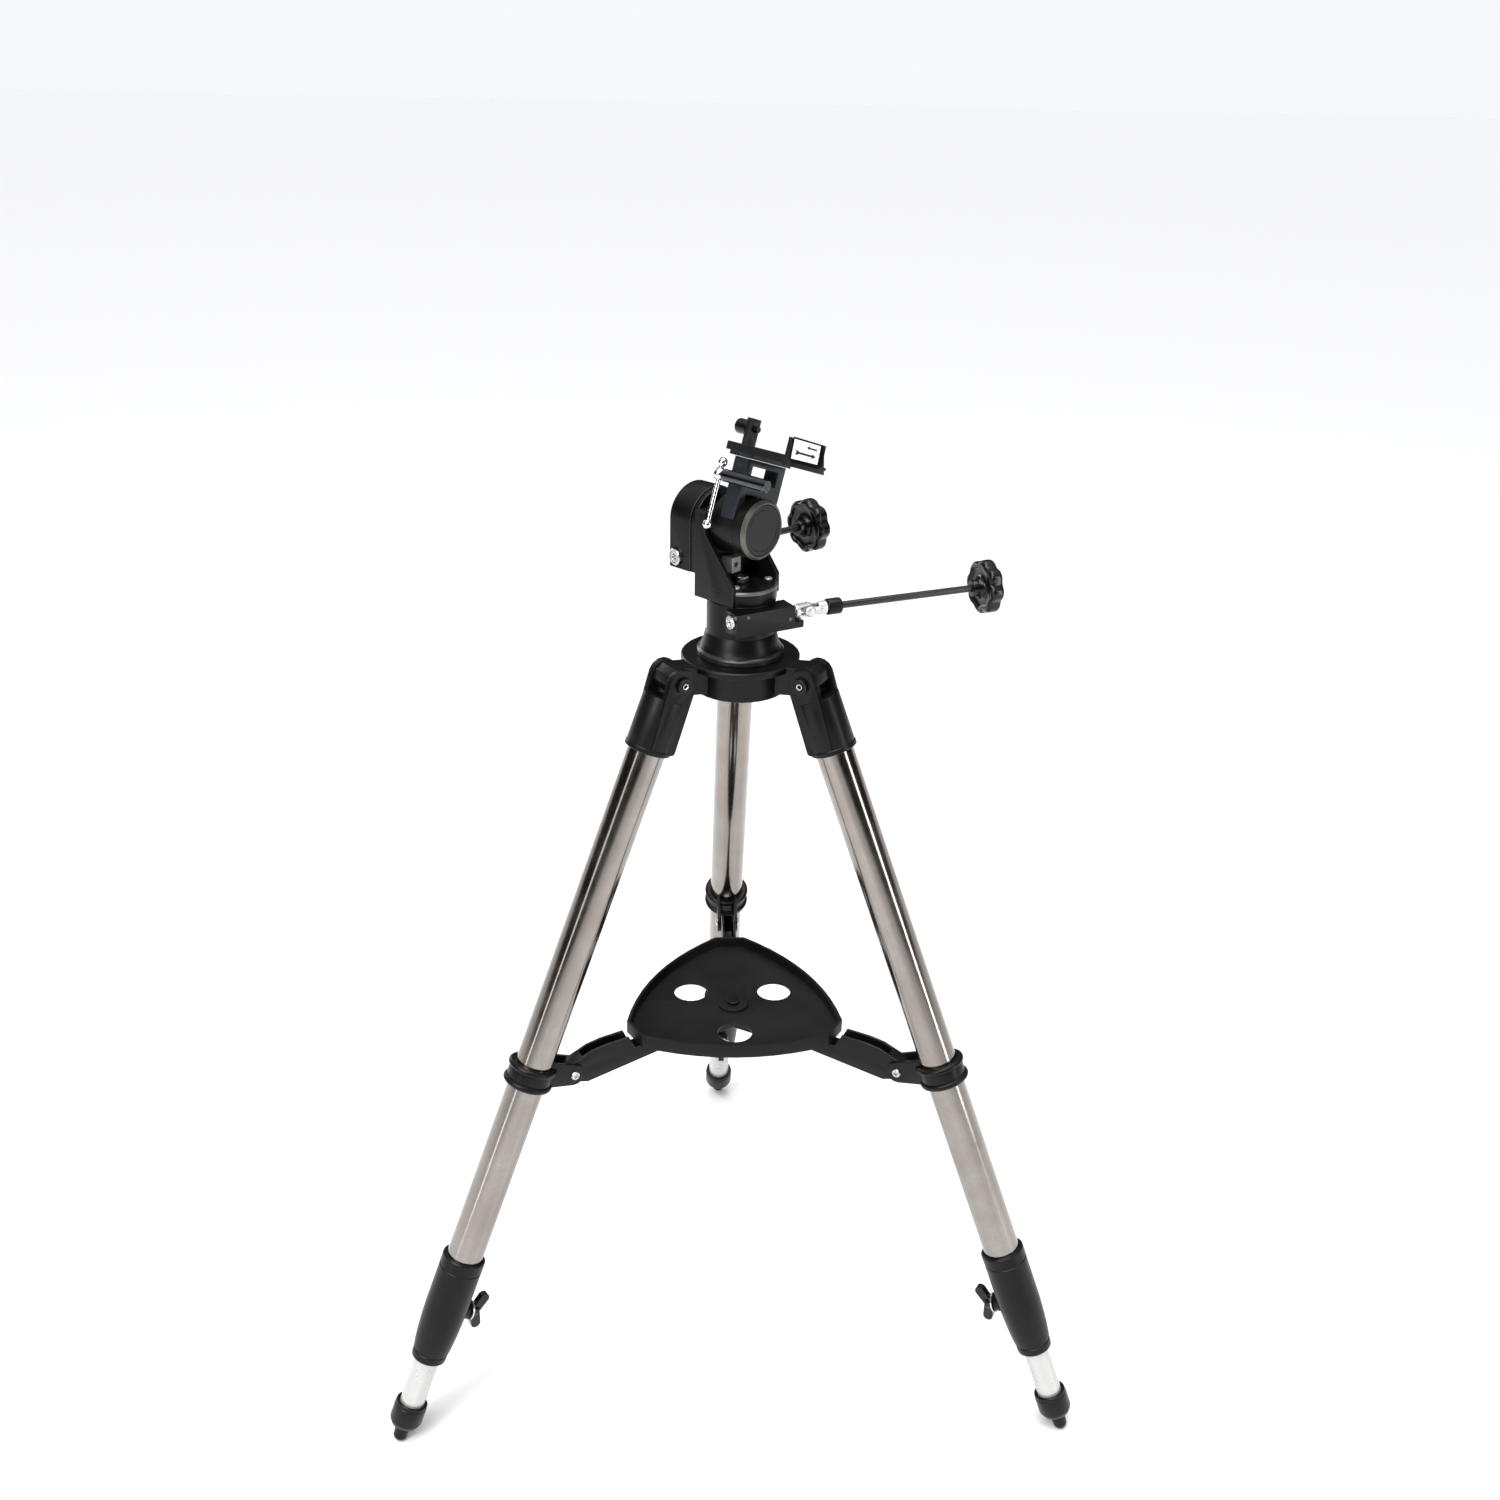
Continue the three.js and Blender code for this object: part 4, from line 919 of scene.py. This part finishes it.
BAR = [*arc(0, -5.6, 4, -90, 58, 9), (2, -1.2), (2, 40.0), *arc(0, 44.4, 4, -58, 90, 9)]
turned("tommy_bar_rod", bar_place, BAR, bright_chrome, "tommy_bar", "tommy_bar", steps=40)
CLAMP = [(0, -12.3), (5.2, -12.3), (5.9, -11.6), (6.2, -10.6), (6.2, -1.2), (5.6, -0.4), (2.4, -0.3),
         (2.4, 9.5), (0, 9.5)]
clamp_place = arm_place @ place((-24 * MM, 8 * MM, 76 * MM), x=(0, 0, 1), z=(1, 0, 0))
turned("saddle_clamp_grip", clamp_place, CLAMP, knob_black, "saddle_clamp", "saddle_clamp_knob")

# %% [markdown]
# ## Small hardware
# The visible screws are cross-head screws with a domed head. One head is modelled with its
# recess, and a tree then sets a copy of it on each point, turned to look the way that the point
# says. The tree ends in real geometry, one mesh for each body that the screws travel with.

# %% One screw head
def cross_screw(name, radius, height):
    """A domed head with a cross recess, looking along Z, its underside at z = 0."""
    form = turned_form([(0, 0), (radius, 0), (radius, height * 0.35), (radius * 0.86, height * 0.75),
                        (radius * 0.5, height * 0.97), (0, height)], 24)
    head = new_piece(name, form)
    slots = bmesh.new()
    for long_x, long_y in ((0.62, 0.14), (0.14, 0.62)):
        bmesh.ops.create_cube(slots, size=2.0, matrix=Matrix.Diagonal(
            (long_x * radius * MM, long_y * radius * MM, height * MM * 0.6, 1)
        ) @ Matrix.Translation((0, 0, 1.4)))
    cutter = new_piece(f"{name}_recess", slots)
    cut = head.modifiers.new("recess", "BOOLEAN")
    cut.object = cutter
    cut.operation = "DIFFERENCE"
    cut.solver = "EXACT"
    cut.use_self = True
    bake(head)
    bpy.data.objects.remove(cutter)
    return head


# %% The screw tree
screws, screw_ids, c_in, c_out = tree_with("set_screws", [
    ("Screw", "NodeSocketObject"), ("Size", "NodeSocketFloat"), ("Finish", "NodeSocketMaterial"),
])
facing = screws.nodes.new("GeometryNodeInputNamedAttribute")
facing.data_type = "FLOAT_VECTOR"
facing.inputs["Name"].default_value = "facing"
aim = screws.nodes.new("FunctionNodeAlignRotationToVector")
aim.axis = "Z"
form_of = screws.nodes.new("GeometryNodeObjectInfo")
copies = screws.nodes.new("GeometryNodeInstanceOnPoints")
real = screws.nodes.new("GeometryNodeRealizeInstances")
paint = screws.nodes.new("GeometryNodeSetMaterial")
screws.links.new(facing.outputs["Attribute"], aim.inputs["Vector"])
screws.links.new(c_in.outputs["Screw"], form_of.inputs["Object"])
screws.links.new(c_in.outputs["Geometry"], copies.inputs["Points"])
screws.links.new(form_of.outputs["Geometry"], copies.inputs["Instance"])
screws.links.new(aim.outputs[0], copies.inputs["Rotation"])
screws.links.new(c_in.outputs["Size"], copies.inputs["Scale"])
screws.links.new(copies.outputs[0], real.inputs[0])
screws.links.new(real.outputs[0], paint.inputs["Geometry"])
screws.links.new(c_in.outputs["Finish"], paint.inputs["Material"])
screws.links.new(paint.outputs[0], c_out.inputs[0])
pattern_head = cross_screw("screw_pattern", 3.0, 1.5)


def set_screws(name, where, seats, size, material, body):
    """Screws at (point, direction) seats in millimetres, in the place."""
    mesh = bpy.data.meshes.new(name)
    mesh.from_pydata([Vector(p) * MM for p, _ in seats], [], [])
    look = mesh.attributes.new("facing", "FLOAT_VECTOR", "POINT")
    look.data.foreach_set("vector", [c for _, d in seats for c in d])
    piece = bpy.data.objects.new(name, mesh)
    bpy.context.scene.collection.objects.link(piece)
    set_of = piece.modifiers.new("screws", "NODES")
    set_of.node_group = screws
    for label, value in (("Screw", pattern_head), ("Size", size), ("Finish", material)):
        set_of[screw_ids[label]] = value
    bake(piece)
    print(name, "screws", len(seats), "vertices", len(piece.data.vertices))
    return settle(piece, where, material, body)


# %% Screws on the mount
FLOOR_SEATS = [((7.6, -15.6, -48), (0, 0, 1)), ((10.8, 20.8, -48), (0, 0, 1)), ((-7.5, 7.4, -48), (0, 0, 1))]
set_screws("head_floor_screws", head_place, FLOOR_SEATS, 1.1, satin_bright, "head")
CASE_SEATS = [((-13, -7.8, 4.6), (0, -1, 0)), ((26, -7.8, -3.0), (0, -1, 0))]
set_screws("worm_case_screws", worm_place, CASE_SEATS, 0.5, edge_grey, "tripod_hub")
for i, where in leg_places.items():
    pin_at = where.inverted() @ at(f"arm_swing_{i}") / MM
    seats = [((pin_at.x, s * 9.8, pin_at.z), (0, s, 0)) for s in (-1, 1)]
    set_screws(f"collar_pin_heads_{i}", where, seats, 1.35, zinc, f"leg_{i}")
bpy.data.objects.remove(pattern_head)

# %% [markdown]
# ## Direction label
# A white label on the black plate carries two arrows that point opposite ways, with no words. The
# ink is a pair of thin plates that lie a hair above the white, so no picture file is needed.


# %% Label outlines
LABEL = [(53.9, 60.2), (79.7, 60.3), (78.8, 74.3), (52.8, 75.2)]
ARROW = [
    [(66.4, 70.9), (69.2, 72.4), (69.2, 71.4), (76.4, 71.1), (76.4, 69.9), (69.2, 70.2), (69.2, 69.3)],
    [(56.2, 63.9), (57.6, 65.6), (56.2, 67.4), (58.8, 67.2), (60.2, 66.4), (73.2, 66.1), (73.2, 67.3),
     (76.5, 65.3), (73.2, 63.3), (73.2, 64.5), (60.2, 64.8), (58.8, 63.9)],
]
settle(new_piece("label_face", sheet_form([LABEL], -29.55, -29.3)), arm_place, label_white, "saddle_arm")
settle(new_piece("label_marks", sheet_form(ARROW, -29.65, -29.5)), arm_place, label_ink, "saddle_arm")
